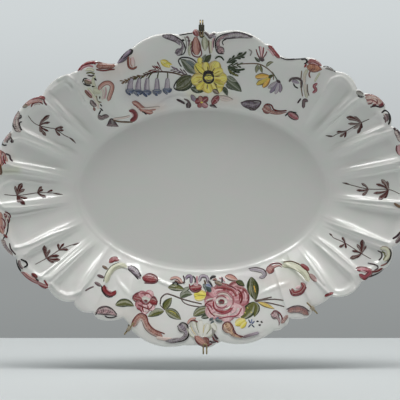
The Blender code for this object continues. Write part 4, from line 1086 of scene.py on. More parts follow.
def platter_rings():
    """The platter as closed rings, from the well's middle over the lip to the middle of the
    back, and how many of their points are on the front. Rings away from the rim are coarser."""
    edge = outline()
    inner = oval_points(edge)
    fan = edge - inner
    width = np.hypot(*fan.T)
    way = fan / width[:, None]
    raised = [(points, tall, max(1.0, MOULDED_SHARE * wide))
              for strokes, tall in MOTIFS.values() if tall
              for _, _, wide, points in strokes if wide > WIDE_STROKE]

    def plain(out):
        flat = inner + fan * out if out >= 0 else inner * (1 + out / WELL_DEEP)
        return at_depth(flat, -(FOOT_HEIGHT + WALL) - rise(np.full(len(edge), out)))

    def carved(out):
        places = plain(out)
        places[:, 1] -= relief(places, np.full(len(edge), out), width, raised)
        return places

    last = float(np.mean(1 - LIP / width))
    rings = [plain(out)[::4] for out in WELL_MIDDLE]
    rings += [plain(out)[::2] for out in WELL_FLOOR]
    rings += [carved(out) for out in np.linspace(0, 1, RIM_RINGS + 1) * last]
    front, front_count = rings[-1], sum(len(places) for places in rings)
    for k in range(1, LIP_STEPS + 1):
        turn = math.pi * k / LIP_STEPS
        flat = edge - way * LIP * (1 - math.sin(turn))
        y = front[:, 1] * (0.5 + 0.5 * math.cos(turn))
        y = y + -(FOOT_HEIGHT + RIM_RISE) * (0.5 - 0.5 * math.cos(turn))
        rings.append(at_depth(flat, y))
    for out in BACK:
        places = plain(out * last)[::2]
        places[:, 1] += WALL
        rings.append(places)
    unit = inner / np.array(WELL)
    rings += [at_depth(unit[::2] * np.array((a, b)), y) for a, b, y in FOOT]
    floor_oval = unit[::4] * np.array(FOOT[-1][:2])
    rings += [at_depth(floor_oval * share, -FOOT_HEIGHT) for share in UNDER_WELL]
    return rings, front_count


def stitched(rings):
    """Faces between neighbouring rings, of which one may have twice the points of the other."""
    faces, a = [], 0
    for here, beyond in zip(rings, rings[1:]):
        na, nb = len(here), len(beyond)
        b = a + na
        if na == nb:
            faces += side_faces(a, b, na)
        for j in range(na if nb > na else 0):
            faces.append((a + j, a + (j + 1) % na, b + (2 * j + 2) % nb, b + 2 * j + 1, b + 2 * j))
        for j in range(nb if na > nb else 0):
            faces.append((a + 2 * j, a + 2 * j + 1, a + (2 * j + 2) % na, b + (j + 1) % nb, b + j))
        a = b
    return faces


def platter_mesh(material, bare):
    """The glazed platter in one piece, with bare clay where its foot ring rests."""
    rings, front_count = platter_rings()
    faces = stitched(rings)
    first, end = len(rings[0]), len(rings[-1])
    total = sum(len(places) for places in rings)
    verts = np.concatenate(rings + [[[0, rings[0][0, 1], 0], [0, -FOOT_HEIGHT, 0]]])
    tail = total - end
    faces += [(total, (j + 1) % first, j) for j in range(first)]
    faces += [(total + 1, tail + j, tail + (j + 1) % end) for j in range(end)]
    thing = add_mesh("glazed_platter", verts, faces, material)
    colour_attribute(thing.data, "glaze", glaze_tints(verts, front_count))
    thing.data.materials.append(bare)
    for face, corners in zip(thing.data.polygons, faces):
        if verts[list(corners), 1].min() > BARE_BEHIND:
            face.material_index = 1
    return thing


GLAZE_WHITE = (0.80, 0.80, 0.765)
GLAZE_MOTTLE = 0.012
# Soft washes in the glaze: colour, strength, radius, points
WASHES = (
    ("blush", 0.5, 9.0, ((-95, 115), (-85, 118), (-70, 128))),
    ("pale_green", 0.5, 7.0, ((-112, 97), (-100, 94))),
    ("blush", 0.6, 6.0, ((-66, 80), (-42, 81))),
    ("pale_green", 0.55, 4.0, ((-203, 17), (-186, 18))),
    ("yellow", 0.16, 6.0, ((-12, 95), (20, 94))),
    ("blush", 0.45, 6.0, ((12, 88), (32, 87))),
    ("lilac", 0.3, 8.0, ((-75, 94), (-36, 92))),
    ("blush", 0.3, 8.0, ((-100, -120), (-66, -128), (-50, -142))),
    ("blush", 0.35, 8.0, ((60, -90), (96, -98))),
    ("pale_green", 0.3, 7.0, ((82, -76), (98, -86))),
    ("lilac", 0.22, 8.0, ((46, -84), (58, -87))),
    ("blush", 0.3, 6.0, ((-200, 30), (-194, 32))),
    ("brown", 0.3, 2.6, ((192, -17), (203, -20))),
    ("blush", 0.3, 6.0, ((-199, -34), (-196, -42))),
    ("blush", 0.25, 7.0, ((-10, 140), (20, 146))),
)


def glaze_tints(verts, front_count):
    """The glaze's colour: mottled all over, with the washes on the front's first points."""
    spots = seen(verts)
    u, v = spots[:, 0], spots[:, 1]
    colour = np.tile(np.array(GLAZE_WHITE), (len(verts), 1))
    mottle = np.sin(u / 6.3 + 2 * np.sin(v / 8.9)) * np.sin(v / 5.7 + 2 * np.sin(u / 9.7))
    colour *= 1 + GLAZE_MOTTLE * mottle[:, None] * np.array((1.0, -0.6, 0.4))
    for name, strength, radius, route in WASHES:
        gap, _ = along(spots, route)
        share = ridge(gap, strength, radius)[:, None]
        share[front_count:] = 0.0
        colour = colour * (1 - share) + np.array(COLOURS[name]) * share
    return np.clip(colour, 0, 1)


# ---------------------------------------------------------------- brushwork

BRUSH_SEED = 11
MISSED_Y = -6.0  # a line of sight that lands behind this Y has missed the front
STROKE_STEP = 0.9
STRIPED_STEP = 0.6  # the shorter step along a cross-striped stroke
STRIPE = 2.3  # from one cross stripe to the next
ENAMEL_LIFT = 0.12  # how far a motif's first stroke stands above the glaze
LAYER = 0.006  # how much higher each stroke lies than the one before
ENAMEL_ROUNDING = 0.06
ENAMEL_ROOT = 0.3  # how far the enamel goes down into the glaze
STREAK = 0.19  # spread of the tone from one brush hair to the next: darker hairs, and light ones that wide strokes mix towards ivory as thin paint and painted glints
TOUCH = 0.05  # and from one step along the stroke to the next
SPLINE_STEPS = 12
STRAIGHT_POINTS = 9


def smooth_line(points, step):
    """A smooth curve through the points, sampled evenly, and its length."""
    p = np.asarray(points, float)
    if len(p) == 2:
        curve = p[0] + (p[1] - p[0]) * np.linspace(0, 1, STRAIGHT_POINTS)[:, None]
    else:
        closed = np.allclose(p[0], p[-1])
        before = p[-2] if closed else 2 * p[0] - p[1]
        after = p[1] if closed else 2 * p[-1] - p[-2]
        q = np.concatenate([[before], p, [after]])
        t = np.linspace(0, 1, SPLINE_STEPS, endpoint=False)[:, None]
        curve = []
        for a, b, c, d in zip(q, q[1:], q[2:], q[3:]):
            square, cube = (2 * a - 5 * b + 4 * c - d) * t**2, (3 * b - a - 3 * c + d) * t**3
            curve.append(0.5 * (2 * b + (c - a) * t + square + cube))
        curve = np.concatenate(curve + [p[-1:]])
    run = np.concatenate(([0], np.cumsum(np.linalg.norm(np.diff(curve, axis=0), axis=1))))
    count = max(5, int(round(run[-1] / step)) + 1)
    at = np.linspace(0, run[-1], count)
    return np.stack([np.interp(at, run, curve[:, k]) for k in range(curve.shape[1])], 1), run[-1]


def half_widths(shape, share, width, length):
    """Half the stroke's width at each share of its length, by the shape that the brush leaves."""
    half = width / 2
    if shape == "dab":
        return half * np.sqrt(np.clip(1 - (2 * share - 1) ** 2, 0.02, 1))
    if shape == "leaf":
        return half * np.clip(np.sin(math.pi * share**0.85), 0.05, 1) ** 0.8
    if shape == "tip":
        return half * np.clip(0.3 + 0.9 * share, 0, 1) * np.clip((1 - share) / 0.22, 0.06, 1) ** 0.6
    if shape == "petal":
        return half * np.clip(np.sin(math.pi * np.clip(0.12 + 0.83 * share, 0, 1) ** 1.3), 0.05, 1) ** 0.75
    if shape == "bell":
        return half * np.clip(0.35 + 0.65 * np.sqrt(share), 0, 1) * np.clip(share / 0.08 + 0.3, 0, 1)
    if shape == "comma":
        ball = np.clip(1 - ((share * length - half) / half) ** 2, 0, 1) ** 0.5
        tail = 0.62 * (1 - share) ** 0.7
        return half * np.clip(np.maximum(ball, tail), 0.05, 1)
    ends = np.minimum(share, 1 - share) * length / max(0.6, half)
    return half * np.clip(ends, 0.08, 1) ** 0.6 * (0.86 + 0.14 * np.sin(math.pi * share))


def tinted(tone, share, across, run, width):
    """The colour at a place on a stroke: a>b changes along it from a to b, a/b has edges of a
    round b, and a|b is cross-striped with b inside edges of a."""
    for mark in "|/>":
        if mark in tone:
            first, second = (np.array(COLOURS[name]) for name in tone.split(mark))
            break
    else:
        return np.array(COLOURS[tone])
    if mark == ">":
        mix = share
    elif mark == "/":
        mix = 1 - smoothstep(0.45, 0.85, abs(across))
    else:
        wander = 0.5 * math.sin(run * 1.9 + 2 * across) + 0.35 * width * across * across
        mix = 0.45 + 0.4 * math.sin(2 * math.pi * (run + wander) / STRIPE) + 0.15 * math.sin(run * 0.8)
        mix = max(0.0, mix) * (1 - smoothstep(0.5, 0.95, abs(across)))
    return first * (1 - mix) + second * mix


def full_ends(shape, width, points):
    """A dab's or comma's points, drawn out by half its width so that its round ends fit."""
    points = np.asarray(points, float)
    first, second = points[0], points[1]
    way = (second - first) / np.linalg.norm(second - first)
    points[0] = first - way * width / 2
    if shape == "dab":
        points[-1] = points[-1] + way * width / 2
    return points


class Brush:
    """Lays raised enamel on the glaze: each stroke is a thin closed body, fused into it."""

    def __init__(self, surface):
        self.surface = surface
        self.random = np.random.default_rng(BRUSH_SEED)

    def land(self, spot):
        """The glaze under a spot on the rim's plane: place and normal, in millimetres."""
        eye = Vector(EYE)
        aim = (Vector((spot[0], RIM_PLANE, spot[1])) - eye).normalized()
        place, normal, _, _ = self.surface.ray_cast(eye, aim)
        if place is None or place.y > MISSED_Y:
            place, normal, _, _ = self.surface.find_nearest(Vector((spot[0], RIM_PLANE + 1.0, spot[1])))
        if normal.y > 0.2:
            normal = -normal
        return np.array(place), np.array(normal)

    def marked_and_glinted(self, tint, streak, width, across):
        """The colour with the brush's marks: darker hairs and thick edges, and on wide strokes thin places
        lightened towards ivory, which also serve as painted glints.
        """
        touch = streak + self.random.normal(0, TOUCH)
        if touch > 0 and width > WIDE_STROKE:
            # Light hairs on a wide stroke are mixed towards ivory: thin paint, and also painted glints
            # along the stroke.
            tint = tint + (np.array(COLOURS["ivory"]) - tint) * min(0.4, 1.4 * touch)
        return tint * (1 + min(0.0, touch) - 0.22 * abs(across) ** 4)

    def stroke(self, shape, tone, width, points, lift, out):
        """Adds a stroke's points, faces and colours to out."""
        if shape in ("dab", "comma"):
            points = full_ends(shape, width, points)
        route, length = smooth_line(points, STRIPED_STEP if "|" in tone else STROKE_STEP)
        share = np.linspace(0, 1, len(route))
        half = half_widths(shape, share, width, length)
        ahead = np.gradient(route, axis=0)
        ahead /= np.linalg.norm(ahead, axis=1)[:, None] + 1e-9
        side = np.stack([-ahead[:, 1], ahead[:, 0]], 1)
        columns = max(2, int(math.ceil(width / STROKE_STEP))) + 1
        spread = np.linspace(-1, 1, columns)
        streaks = self.random.normal(0, STREAK, columns)
        base = len(out["verts"])
        around = 2 * columns
        for k, centre in enumerate(route):
            tops, lows = [], []
            end = min(1.0, 6 * share[k], 6 * (1 - share[k]))
            for across, streak in zip(spread, streaks):
                place, normal = self.land(centre + side[k] * across * half[k])
                dome = math.sqrt(max(0.0, 1 - across * across))
                tops.append(place + normal * (lift - ENAMEL_ROUNDING * (1 - dome * end)))
                lows.append(place - normal * ENAMEL_ROOT)
                tint = tinted(tone, share[k], across, share[k] * length, width)
                out["colours"].append(self.marked_and_glinted(tint, streak, width, across))
            out["verts"] += tops + lows[::-1]
            out["colours"] += [out["colours"][-1]] * columns
        out["faces"] += tube_faces(base, len(route), around)

    def motif(self, name, strokes, material):
        """One object with a motif's strokes, each lying a little higher than the last."""
        out = {"verts": [], "faces": [], "colours": []}
        for k, (shape, tone, width, points) in enumerate(strokes):
            self.stroke(shape, tone, width, points, ENAMEL_LIFT + LAYER * k, out)
        thing = add_mesh(name, np.array(out["verts"]), out["faces"], material)
        colour_attribute(thing.data, "enamel", np.clip(np.array(out["colours"]), 0, 1))
        return thing


# ---------------------------------------------------------------- materials


def principled(name, colour, roughness, metallic=0.0, **inputs):
    """A material with one shader, and any further inputs of it by name."""
    made = bpy.data.materials.new(name)
    made.use_nodes = True
    shader = made.node_tree.nodes["Principled BSDF"]
    shader.inputs["Base Color"].default_value = (*colour, 1.0)
    shader.inputs["Roughness"].default_value = roughness
    shader.inputs["Metallic"].default_value = metallic
    for key, value in inputs.items():
        shader.inputs[key.replace("_", " ")].default_value = value
    return made


def from_attribute(material, attribute):
    """The shader's colour, read from the mesh's own."""
    nodes, links = material.node_tree.nodes, material.node_tree.links
    source = nodes.new("ShaderNodeAttribute")
    source.attribute_name = attribute
    links.new(source.outputs["Color"], nodes["Principled BSDF"].inputs["Base Color"])


def noise(material, size, detail=3.0):
    """A mottle whose blotches are about a size in millimetres."""
    nodes, links = material.node_tree.nodes, material.node_tree.links
    place = nodes.new("ShaderNodeTexCoord")
    scaled = nodes.new("ShaderNodeMapping")
    scaled.inputs["Scale"].default_value = [1 / (size * MM)] * 3
    source = nodes.new("ShaderNodeTexNoise")
    source.inputs["Scale"].default_value = 1.0
    source.inputs["Detail"].default_value = detail
    links.new(place.outputs["Object"], scaled.inputs["Vector"])
    links.new(scaled.outputs["Vector"], source.inputs["Vector"])
    return source.outputs["Fac"]


def mottled(material, size, colour, worn):
    """The shader's colour, worn to another one in blotches."""
    nodes, links = material.node_tree.nodes, material.node_tree.links
    tones = nodes.new("ShaderNodeValToRGB")
    for element, at, tone in zip(tones.color_ramp.elements, (0.42, 0.68), (colour, worn)):
        element.position = at
        element.color = (*tone, 1.0)
    links.new(noise(material, size), tones.inputs["Fac"])
    links.new(tones.outputs["Color"], nodes["Principled BSDF"].inputs["Base Color"])


def uneven(material, size, smooth, rough):
    """Roughness that wanders between two values."""
    nodes, links = material.node_tree.nodes, material.node_tree.links
    spread = nodes.new("ShaderNodeMapRange")
    spread.inputs["From Min"].default_value = 0.35
    spread.inputs["From Max"].default_value = 0.65
    spread.inputs["To Min"].default_value = smooth
    spread.inputs["To Max"].default_value = rough
    links.new(noise(material, size), spread.inputs["Value"])
    links.new(spread.outputs["Result"], nodes["Principled BSDF"].inputs["Roughness"])


def grained(material, size, depth):
    """Fine bumps, with a depth in millimetres."""
    nodes, links = material.node_tree.nodes, material.node_tree.links
    bump = nodes.new("ShaderNodeBump")
    bump.inputs["Distance"].default_value = depth * MM
    links.new(noise(material, size, 2.0), bump.inputs["Height"])
    links.new(bump.outputs["Normal"], nodes["Principled BSDF"].inputs["Normal"])


def china_glaze():
    made = principled("china_glaze", GLAZE_WHITE, 0.05, IOR=1.6)
    from_attribute(made, "glaze")
    uneven(made, 14.0, 0.035, 0.07)
    grained(made, 5.0, 0.02)
    return made


def bare_clay():
    made = principled("bare_clay", (0.70, 0.66, 0.57), 0.75)
    mottled(made, 4.0, (0.72, 0.68, 0.60), (0.66, 0.61, 0.52))
    grained(made, 0.8, 0.1)
    return made


def overglaze_enamel():
    made = principled("overglaze_enamel", (0.3, 0.2, 0.2), 0.14, IOR=1.4)
    from_attribute(made, "enamel")
    uneven(made, 2.0, 0.1, 0.24)
    grained(made, 0.9, 0.04)
    return made


def brassed_wire():
    made = principled("brassed_wire", (0.38, 0.31, 0.18), 0.38, 1.0)
    mottled(made, 3.0, (0.42, 0.34, 0.19), (0.22, 0.16, 0.09))
    uneven(made, 2.2, 0.28, 0.52)
    grained(made, 0.35, 0.03)
    return made


def spring_steel():
    made = principled("spring_steel", (0.50, 0.50, 0.49), 0.32, 1.0)
    mottled(made, 2.0, (0.52, 0.52, 0.51), (0.30, 0.28, 0.26))
    uneven(made, 1.5, 0.24, 0.45)
    grained(made, 0.3, 0.02)
    return made


def dark_vinyl():
    made = principled("dark_vinyl", (0.05, 0.048, 0.03), 0.45)
    mottled(made, 1.6, (0.045, 0.043, 0.028), (0.085, 0.08, 0.055))
    uneven(made, 1.2, 0.36, 0.56)
    grained(made, 0.6, 0.05)
    return made


def yellowed_vinyl():
    made = principled("yellowed_vinyl", (0.38, 0.33, 0.24), 0.35)
    mottled(made, 1.4, (0.40, 0.35, 0.26), (0.28, 0.22, 0.13))
    uneven(made, 1.2, 0.26, 0.46)
    grained(made, 0.6, 0.05)
    return made


# ---------------------------------------------------------------- wire hanger

WIRE_R = 0.8
BACK_Y = -32.0  # a claw's wire behind the rim
FRONT_Y = -41.9  # and in front of it
RIM_BACK_Y = BACK_Y + 1.5  # the lower wire where it meets the bottom claw
# Each claw: where it passes the edge, its tip, both as X and Z, and half its width if doubled
TOP_CLAW = ((TOP_X, 163.0), (TOP_X, 151.5), 1.2)
BOTTOM_CLAW = ((2.0, -161.0), (2.0, -156.0), 1.7)
LEFT_CLAW = ((-75.5, -142.5), (-69.0, -134.5), 0.0)
RIGHT_CLAW = ((111.0, -122.0), (103.8, -114.5), 0.0)
CLAW_STEPS = 16
TURN_STEPS = 14
TUBE_SIDES = 12
# A wire's end: a short nose past its last point, drawn in to this share of the radius
NOSE = 0.3
NOSE_WIDTH = 0.7
LEAST_STEP = 0.02  # points closer than this are one
# Easing of a wire's corners: its reach to each side, also as a share of the stretch there
EASE = 3.0
EASE_SHARE = 0.48
EASE_POINTS = 7
LEAST_EASE = 0.4
STRAIGHT = 0.995  # cosine of a turn that needs no easing

SLEEVE_SIDES = 36
SLEEVE_GAP = 0.3  # between a sleeve's bore and its wire
SLEEVE_WALL = 0.6
SLEEVE_START = 0.1  # how far a sleeve begins beyond the edge
SIDE_SLEEVE_SPREAD = 0.2
TOP_SLEEVE_LENGTH = 6.0
SIDE_SLEEVE_LENGTH = 4.5
# Along a sleeve, as a share of its length, and the thickness there, as a share of its wall
SLEEVE_PROFILE = (
    (-0.5, 0.0), (-0.5, 0.55), (-0.46, 0.85), (-0.4, 1.0),
    (0.4, 1.0), (0.46, 0.85), (0.5, 0.55), (0.5, 0.0),
)
FERRULE_Z = 43.0
FERRULE_SPREAD = 1.5
FERRULE_LENGTH = 5.0
FERRULE_WALL = 0.8
FERRULE_RUN = 3.2  # the legs run side by side this far above and below its middle
# The upper wire's leg from the claw round the hanging eye: distance from its middle, and Z
LEG = (
    (2.0, 77.5), (2.0, 66.0), (3.6, 63.2), (5.3, 60.2), (6.0, EYE_Z), (5.3, 53.8), (3.2, 50.0),
    (FERRULE_SPREAD, FERRULE_Z + FERRULE_RUN), (FERRULE_SPREAD, FERRULE_Z - FERRULE_RUN),
)

SPRING_X = 48.0
SPRING_TOP = 18.0  # the middle of a spring's upper hook
SPRING_BOTTOM = -12.0
SPRING_R = 2.75
SPRING_WIRE_R = 0.45
SPRING_SIDES = 8
SPRING_TURNS = 23
SPRING_TURN_STEPS = 16
SPRING_TAPER = 8  # points over which the coil grows from its hook to its full radius
HOOK_R = 2.2
HOOK_STEPS = 12
HOOK_TO_COIL = 1.2
BIGHT_R = 2.5  # the wires' loops that the springs hook into


def claw_line(claw):
    """Where a claw passes the edge, its tip, and its directions inwards and across."""
    heel, tip = Vector(claw[0]), Vector(claw[1])
    inward = (tip - heel).normalized()
    return heel, tip, inward, Vector((-inward.y, inward.x))


def over_rim(claw, spread):
    """Half a turn over the edge, from behind the rim to its front, to one side of the claw's line."""
    heel, _, inward, across = claw_line(claw)
    middle_y, radius = (BACK_Y + FRONT_Y) / 2, (BACK_Y - FRONT_Y) / 2
    points = []
    for k in range(CLAW_STEPS + 1):
        turn = math.pi * k / CLAW_STEPS
        place = heel + across * spread - inward * radius * math.sin(turn)
        points.append((place.x, middle_y + radius * math.cos(turn), place.y))
    return points


def claw_points(claw):
    """A doubled wire from behind the rim, over its edge, down the front and back again."""
    _, tip, inward, across = claw_line(claw)
    spread = claw[2]
    points = over_rim(claw, spread)
    for k in range(TURN_STEPS + 1):
        turn = math.pi * k / TURN_STEPS
        place = tip + across * spread * math.cos(turn) + inward * spread * (math.sin(turn) - 1)
        points.append((place.x, FRONT_Y, place.y))
    return points + over_rim(claw, -spread)[::-1]


def hook_points(claw):
    """A wire's end: from its tip on the front, over the rim's edge to behind it."""
    _, tip, _, _ = claw_line(claw)
    return [(tip.x, FRONT_Y, tip.y)] + over_rim(claw, claw[2])[::-1]


def bight(x, z, side, opening):
    """Half a turn about a spring hook: it opens up (1) or down (-1), from the middle outwards."""
    points = []
    for k in range(TURN_STEPS + 1):
        turn = math.pi * k / TURN_STEPS
        sag = opening * BIGHT_R * (1 - math.sin(turn))
        points.append((x - side * BIGHT_R * math.cos(turn), HANGER_Y, z + sag))
    return points


def upper_leg(side):
    """The upper wire on one side: past the eye, through the ferrule and round its spring's hook."""
    points = [(TOP_X + side * spread, HANGER_Y, z) for spread, z in LEG]
    points += bight(side * SPRING_X, SPRING_TOP, side, 1)
    return points + [(side * (SPRING_X + BIGHT_R - 0.6), HANGER_Y, SPRING_TOP + 2 * BIGHT_R)]


def upper_route():
    """The upper wire: right spring, eye, top claw, eye and left spring."""
    return upper_leg(1)[::-1] + claw_points(TOP_CLAW) + upper_leg(-1)


def lower_route():
    """The lower wire: left claw, left spring, bottom claw, right spring and right claw."""
    route = hook_points(LEFT_CLAW) + [(-61.5, HANGER_Y, -70.0), (-53.0, HANGER_Y, -30.0)]
    route += bight(-SPRING_X, SPRING_BOTTOM, -1, -1)[::-1]
    route += [(-2.6, HANGER_Y, -77.0), (-0.2, RIM_BACK_Y, -155.0)] + claw_points(BOTTOM_CLAW)
    route += [(4.2, RIM_BACK_Y, -155.0), (2.6, HANGER_Y, -77.0)]
    route += bight(SPRING_X, SPRING_BOTTOM, 1, -1)
    return route + [(56.0, HANGER_Y, -30.0), (71.5, HANGER_Y, -66.0)] + hook_points(RIGHT_CLAW)[::-1]


def rounded(points):
    """The same route with its corners eased, except the slight and the tight ones."""
    p = [np.array(q, float) for q in points]
    route = [p[0]]
    for a, b, c in zip(p, p[1:], p[2:]):
        before, after = np.linalg.norm(b - a), np.linalg.norm(c - b)
        turn = np.dot(b - a, c - b) / (before * after)
        cut = min(EASE, EASE_SHARE * before, EASE_SHARE * after)
        if turn > STRAIGHT or cut < LEAST_EASE:
            route.append(b)
            continue
        start, stop = b + (a - b) * cut / before, b + (c - b) * cut / after
        for t in np.linspace(0, 1, EASE_POINTS):
            route.append((1 - t) ** 2 * start + 2 * t * (1 - t) * b + t * t * stop)
    return np.array(route + [p[-1]])


def tube(name, points, radius, material, sides=TUBE_SIDES):
    """A round wire along the points, closed at both ends."""
    p = np.asarray(points, float)
    p = p[np.concatenate(([True], np.linalg.norm(np.diff(p, axis=0), axis=1) > LEAST_STEP))]
    way = np.gradient(p, axis=0)
    way /= np.linalg.norm(way, axis=1)[:, None]
    up = np.cross(way[0], (0.0, 1.0, 0.0))
    if np.linalg.norm(up) < 0.1:
        up = np.cross(way[0], (1.0, 0.0, 0.0))
    stations = [(p[0] - way[0] * NOSE * radius, way[0], NOSE_WIDTH)]
    stations += [(q, w, 1.0) for q, w in zip(p, way)]
    stations.append((p[-1] + way[-1] * NOSE * radius, way[-1], NOSE_WIDTH))
    verts, faces = [], []
    for k, (place, ahead, share) in enumerate(stations):
        up = up - ahead * np.dot(up, ahead)
        up /= np.linalg.norm(up)
        right = np.cross(ahead, up)
        for j in range(sides):
            turn = 2 * math.pi * j / sides
            verts.append(place + radius * share * (up * math.cos(turn) + right * math.sin(turn)))
        if k:
            faces += side_faces((k - 1) * sides, k * sides, sides)
    end = (len(stations) - 1) * sides
    faces += [tuple(range(sides))[::-1], tuple(range(end, end + sides))]
    return add_mesh(name, np.array(verts), faces, material)


def flat_sleeve(name, middle, ahead, spread, length, wall, material):
    """A soft flattened tube round both legs of a doubled wire, with eased ends."""
    ahead = np.array((ahead[0], 0.0, ahead[1]))
    ahead /= np.linalg.norm(ahead)
    thick = np.array((0.0, 1.0, 0.0))
    side = np.cross(thick, ahead)
    bore = WIRE_R + SLEEVE_GAP
    verts, faces = [], []
    for place, share in SLEEVE_PROFILE:
        grow = bore + wall * share
        for j in range(SLEEVE_SIDES):
            turn = 2 * math.pi * j / SLEEVE_SIDES
            flat = math.copysign(spread, math.cos(turn)) * min(1.0, abs(math.cos(turn)) * 6)
            x = flat + grow * math.cos(turn)
            verts.append(middle + side * x + thick * grow * math.sin(turn) + ahead * place * length)
    rows = len(SLEEVE_PROFILE)
    for k in range(rows):
        faces += side_faces(k * SLEEVE_SIDES, (k + 1) % rows * SLEEVE_SIDES, SLEEVE_SIDES)
    return add_mesh(name, np.array(verts), faces, material)


def claw_sleeve(name, claw, spread, length, material):
    """The sleeve on a claw's front stretch."""
    heel, _, inward, _ = claw_line(claw)
    middle = heel + inward * (length / 2 + SLEEVE_START)
    middle = np.array((middle.x, FRONT_Y, middle.y))
    return flat_sleeve(name, middle, inward, spread, length, SLEEVE_WALL, material)


def leg_ferrule(name, material):
    """The crimp that closes the hanging eye."""
    middle = np.array((TOP_X, HANGER_Y, FERRULE_Z))
    return flat_sleeve(name, middle, (0, 1), FERRULE_SPREAD, FERRULE_LENGTH, FERRULE_WALL, material)


def spring(name, x, material):
    """A close-coiled spring with a hook at each end."""
    hook = []
    for k in range(HOOK_STEPS + 1):
        turn = math.radians(180 - 270 * k / HOOK_STEPS)
        hook.append((HANGER_Y + HOOK_R * math.cos(turn), HOOK_R * math.sin(turn)))
    points = [(x, y, SPRING_TOP + z) for y, z in hook]
    top, bottom = SPRING_TOP - HOOK_R - HOOK_TO_COIL, SPRING_BOTTOM + HOOK_R + HOOK_TO_COIL
    count = SPRING_TURNS * SPRING_TURN_STEPS
    for k in range(count + 1):
        turn = 2 * math.pi * k / SPRING_TURN_STEPS
        radius = SPRING_R * min(1.0, (k + 1) / SPRING_TAPER, (count - k + 1) / SPRING_TAPER)
        z = top + (bottom - top) * k / count
        points.append((x + radius * math.cos(turn), HANGER_Y + radius * math.sin(turn), z))
    points += [(x, y, SPRING_BOTTOM - z) for y, z in hook[::-1]]
    return tube(name, points, SPRING_WIRE_R, material, SPRING_SIDES)


# ---------------------------------------------------------------- the object


def stand_in(thing, node, body):
    """A piece that replaces a CAD node, which it hides, and rides on a body."""
    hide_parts(node)
    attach(thing, body)


def make_platter():
    """The glazed platter, then its enamel, motif by motif."""
    platter = platter_mesh(china_glaze(), bare_clay())
    stand_in(platter, "platter", "hung_platter")
    platter.data.calc_loop_triangles()
    corners = [tuple(v.co / MM + Vector(HANG_POINT)) for v in platter.data.vertices]
    triangles = [tuple(t.vertices) for t in platter.data.loop_triangles]
    brush = Brush(BVHTree.FromPolygons(corners, triangles))
    enamel = overglaze_enamel()
    for name, (strokes, _) in MOTIFS.items():
        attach(brush.motif(name, strokes, enamel), "hung_platter")


def make_wires(brass):
    """Both wires and the ferrule."""
    upper = tube("hanger_upper_wire", rounded(upper_route()), WIRE_R, brass)
    stand_in(upper, "upper_wire", "hung_platter")
    lower = tube("hanger_lower_wire", rounded(lower_route()), WIRE_R, brass)
    stand_in(lower, "lower_wire", "lower_claws")
    stand_in(leg_ferrule("hanger_ferrule", brass), "leg_ferrule", "hung_platter")


def make_sleeves():
    """The dark sleeve on the top claw and the yellowed ones on the side claws."""
    top = claw_sleeve("top_sleeve", TOP_CLAW, TOP_CLAW[2], TOP_SLEEVE_LENGTH, dark_vinyl())
    stand_in(top, "top_claw_sleeve", "hung_platter")
    clear = yellowed_vinyl()
    for side, claw in (("left", LEFT_CLAW), ("right", RIGHT_CLAW)):
        sleeve = claw_sleeve(f"{side}_sleeve", claw, SIDE_SLEEVE_SPREAD, SIDE_SLEEVE_LENGTH, clear)
        stand_in(sleeve, f"{side}_claw_sleeve", "lower_claws")


def make_springs(steel):
    """The coil springs, made in place of the CAD ones, which it hides."""
    for side, name in ((-1, "left"), (1, "right")):
        coil = spring(f"{name}_coil_spring", side * SPRING_X, steel)
        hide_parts(f"{name}_spring")
        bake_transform(coil)


make_platter()
make_wires(brassed_wire())
make_sleeves()
make_springs(spring_steel())

# ---------------------------------------------------------------- stage, light, camera, in metres

FLOOR_Z = -0.240
FLOOR_SIZE = (5.0, 2.8)
FLOOR_MIDDLE_Y = -1.13
CAMERA_LENS = 117.0
# The room's brightness from below the horizon up, and from the front of the room to its back
HEIGHT_RANGE = (-0.12, 0.16)
HEIGHT_STOPS = (
    (0.0, (0.27, 0.285, 0.285)), (0.22, (0.30, 0.315, 0.315)),
    (0.55, (0.52, 0.55, 0.56)), (1.0, (0.63, 0.67, 0.68)),
)
DEPTH_RANGE = (-1.0, 1.0)
DEPTH_STOPS = (
    (0.0, (0.06, 0.058, 0.055)), (0.5, (0.12, 0.118, 0.115)),
    (0.75, (0.25, 0.25, 0.25)), (0.92, (1.0, 1.0, 1.0)),
)

scene = bpy.context.scene
scene.view_settings.view_transform = "Standard"


def lay_floor():
    """The pale table under the platter."""
    bpy.ops.mesh.primitive_plane_add(size=1.0, location=(0.0, FLOOR_MIDDLE_Y, FLOOR_Z))
    floor = bpy.context.object
    floor.name = "floor"
    floor.scale = (*FLOOR_SIZE, 1.0)
    floor.data.materials.append(principled("pale_table", (0.66, 0.69, 0.69), 0.5))


def ramp(tree, source, low, high, stops):
    """Colours that change with a value between low and high."""
    scaled = tree.nodes.new("ShaderNodeMapRange")
    scaled.inputs["From Min"].default_value = low
    scaled.inputs["From Max"].default_value = high
    tree.links.new(source, scaled.inputs["Value"])
    made = tree.nodes.new("ShaderNodeValToRGB")
    made.color_ramp.interpolation = "EASE"
    while len(made.color_ramp.elements) < len(stops):
        made.color_ramp.elements.new(0.5)
    for element, (at, value) in zip(made.color_ramp.elements, stops):
        element.position = at
        element.color = (*value, 1.0)
    tree.links.new(scaled.outputs[0], made.inputs[0])
    return made.outputs["Color"]


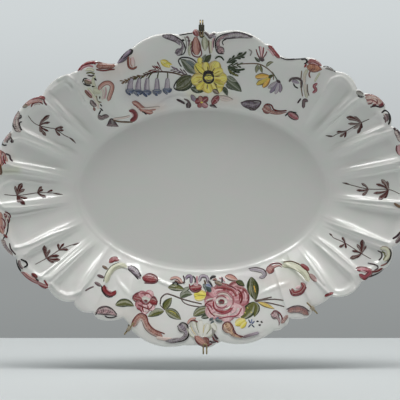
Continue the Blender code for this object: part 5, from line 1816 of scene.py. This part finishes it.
def soft_room():
    """A plain room: pale behind the platter, darker in front and below."""
    sky = bpy.data.worlds.new("soft_room")
    scene.world = sky
    sky.use_nodes = True
    tree = sky.node_tree
    place = tree.nodes.new("ShaderNodeTexCoord")
    split = tree.nodes.new("ShaderNodeSeparateXYZ")
    tree.links.new(place.outputs["Generated"], split.inputs[0])
    height = ramp(tree, split.outputs["Z"], *HEIGHT_RANGE, HEIGHT_STOPS)
    depth = ramp(tree, split.outputs["Y"], *DEPTH_RANGE, DEPTH_STOPS)
    mixed = tree.nodes.new("ShaderNodeMix")
    mixed.data_type = "RGBA"
    mixed.blend_type = "MULTIPLY"
    mixed.inputs["Factor"].default_value = 1.0
    colour_a, colour_b = (socket for socket in mixed.inputs if socket.type == "RGBA")
    result = next(socket for socket in mixed.outputs if socket.type == "RGBA")
    tree.links.new(height, colour_a)
    tree.links.new(depth, colour_b)
    tree.links.new(result, tree.nodes["Background"].inputs["Color"])
    tree.nodes["Background"].inputs["Strength"].default_value = 1.0


def softbox(name, place, aim, size, power):
    """A rectangular light that the camera doesn't see."""
    data = bpy.data.lights.new(name, "AREA")
    data.shape = "RECTANGLE"
    data.size, data.size_y = size
    data.energy = power
    light = bpy.data.objects.new(name, data)
    scene.collection.objects.link(light)
    light.location = place
    light.rotation_euler = (Vector(aim) - Vector(place)).to_track_quat("-Z", "Y").to_euler()
    light.visible_camera = False


def place_camera():
    """A camera straight in front, at the eye that the painting is laid out for."""
    data = bpy.data.cameras.new("camera")
    data.lens = CAMERA_LENS
    camera = bpy.data.objects.new("camera", data)
    scene.collection.objects.link(camera)
    camera.location = world(EYE)
    camera.rotation_euler = (math.radians(90), 0.0, 0.0)
    scene.camera = camera


lay_floor()
soft_room()
# Each light: name, place, where it aims, width and depth, watts
softbox("window", (-0.1, -4.0, 1.15), (0.0, -0.03, -0.08), (4.0, 1.5), 9.0)
softbox("overhead", (0.0, -0.5, 1.85), (0.0, -0.1, -0.12), (2.6, 0.5), 28.0)
softbox("ceiling", (0.0, -0.6, 2.3), (0.0, -0.2, -0.12), (3.4, 1.6), 26.0)
place_camera()
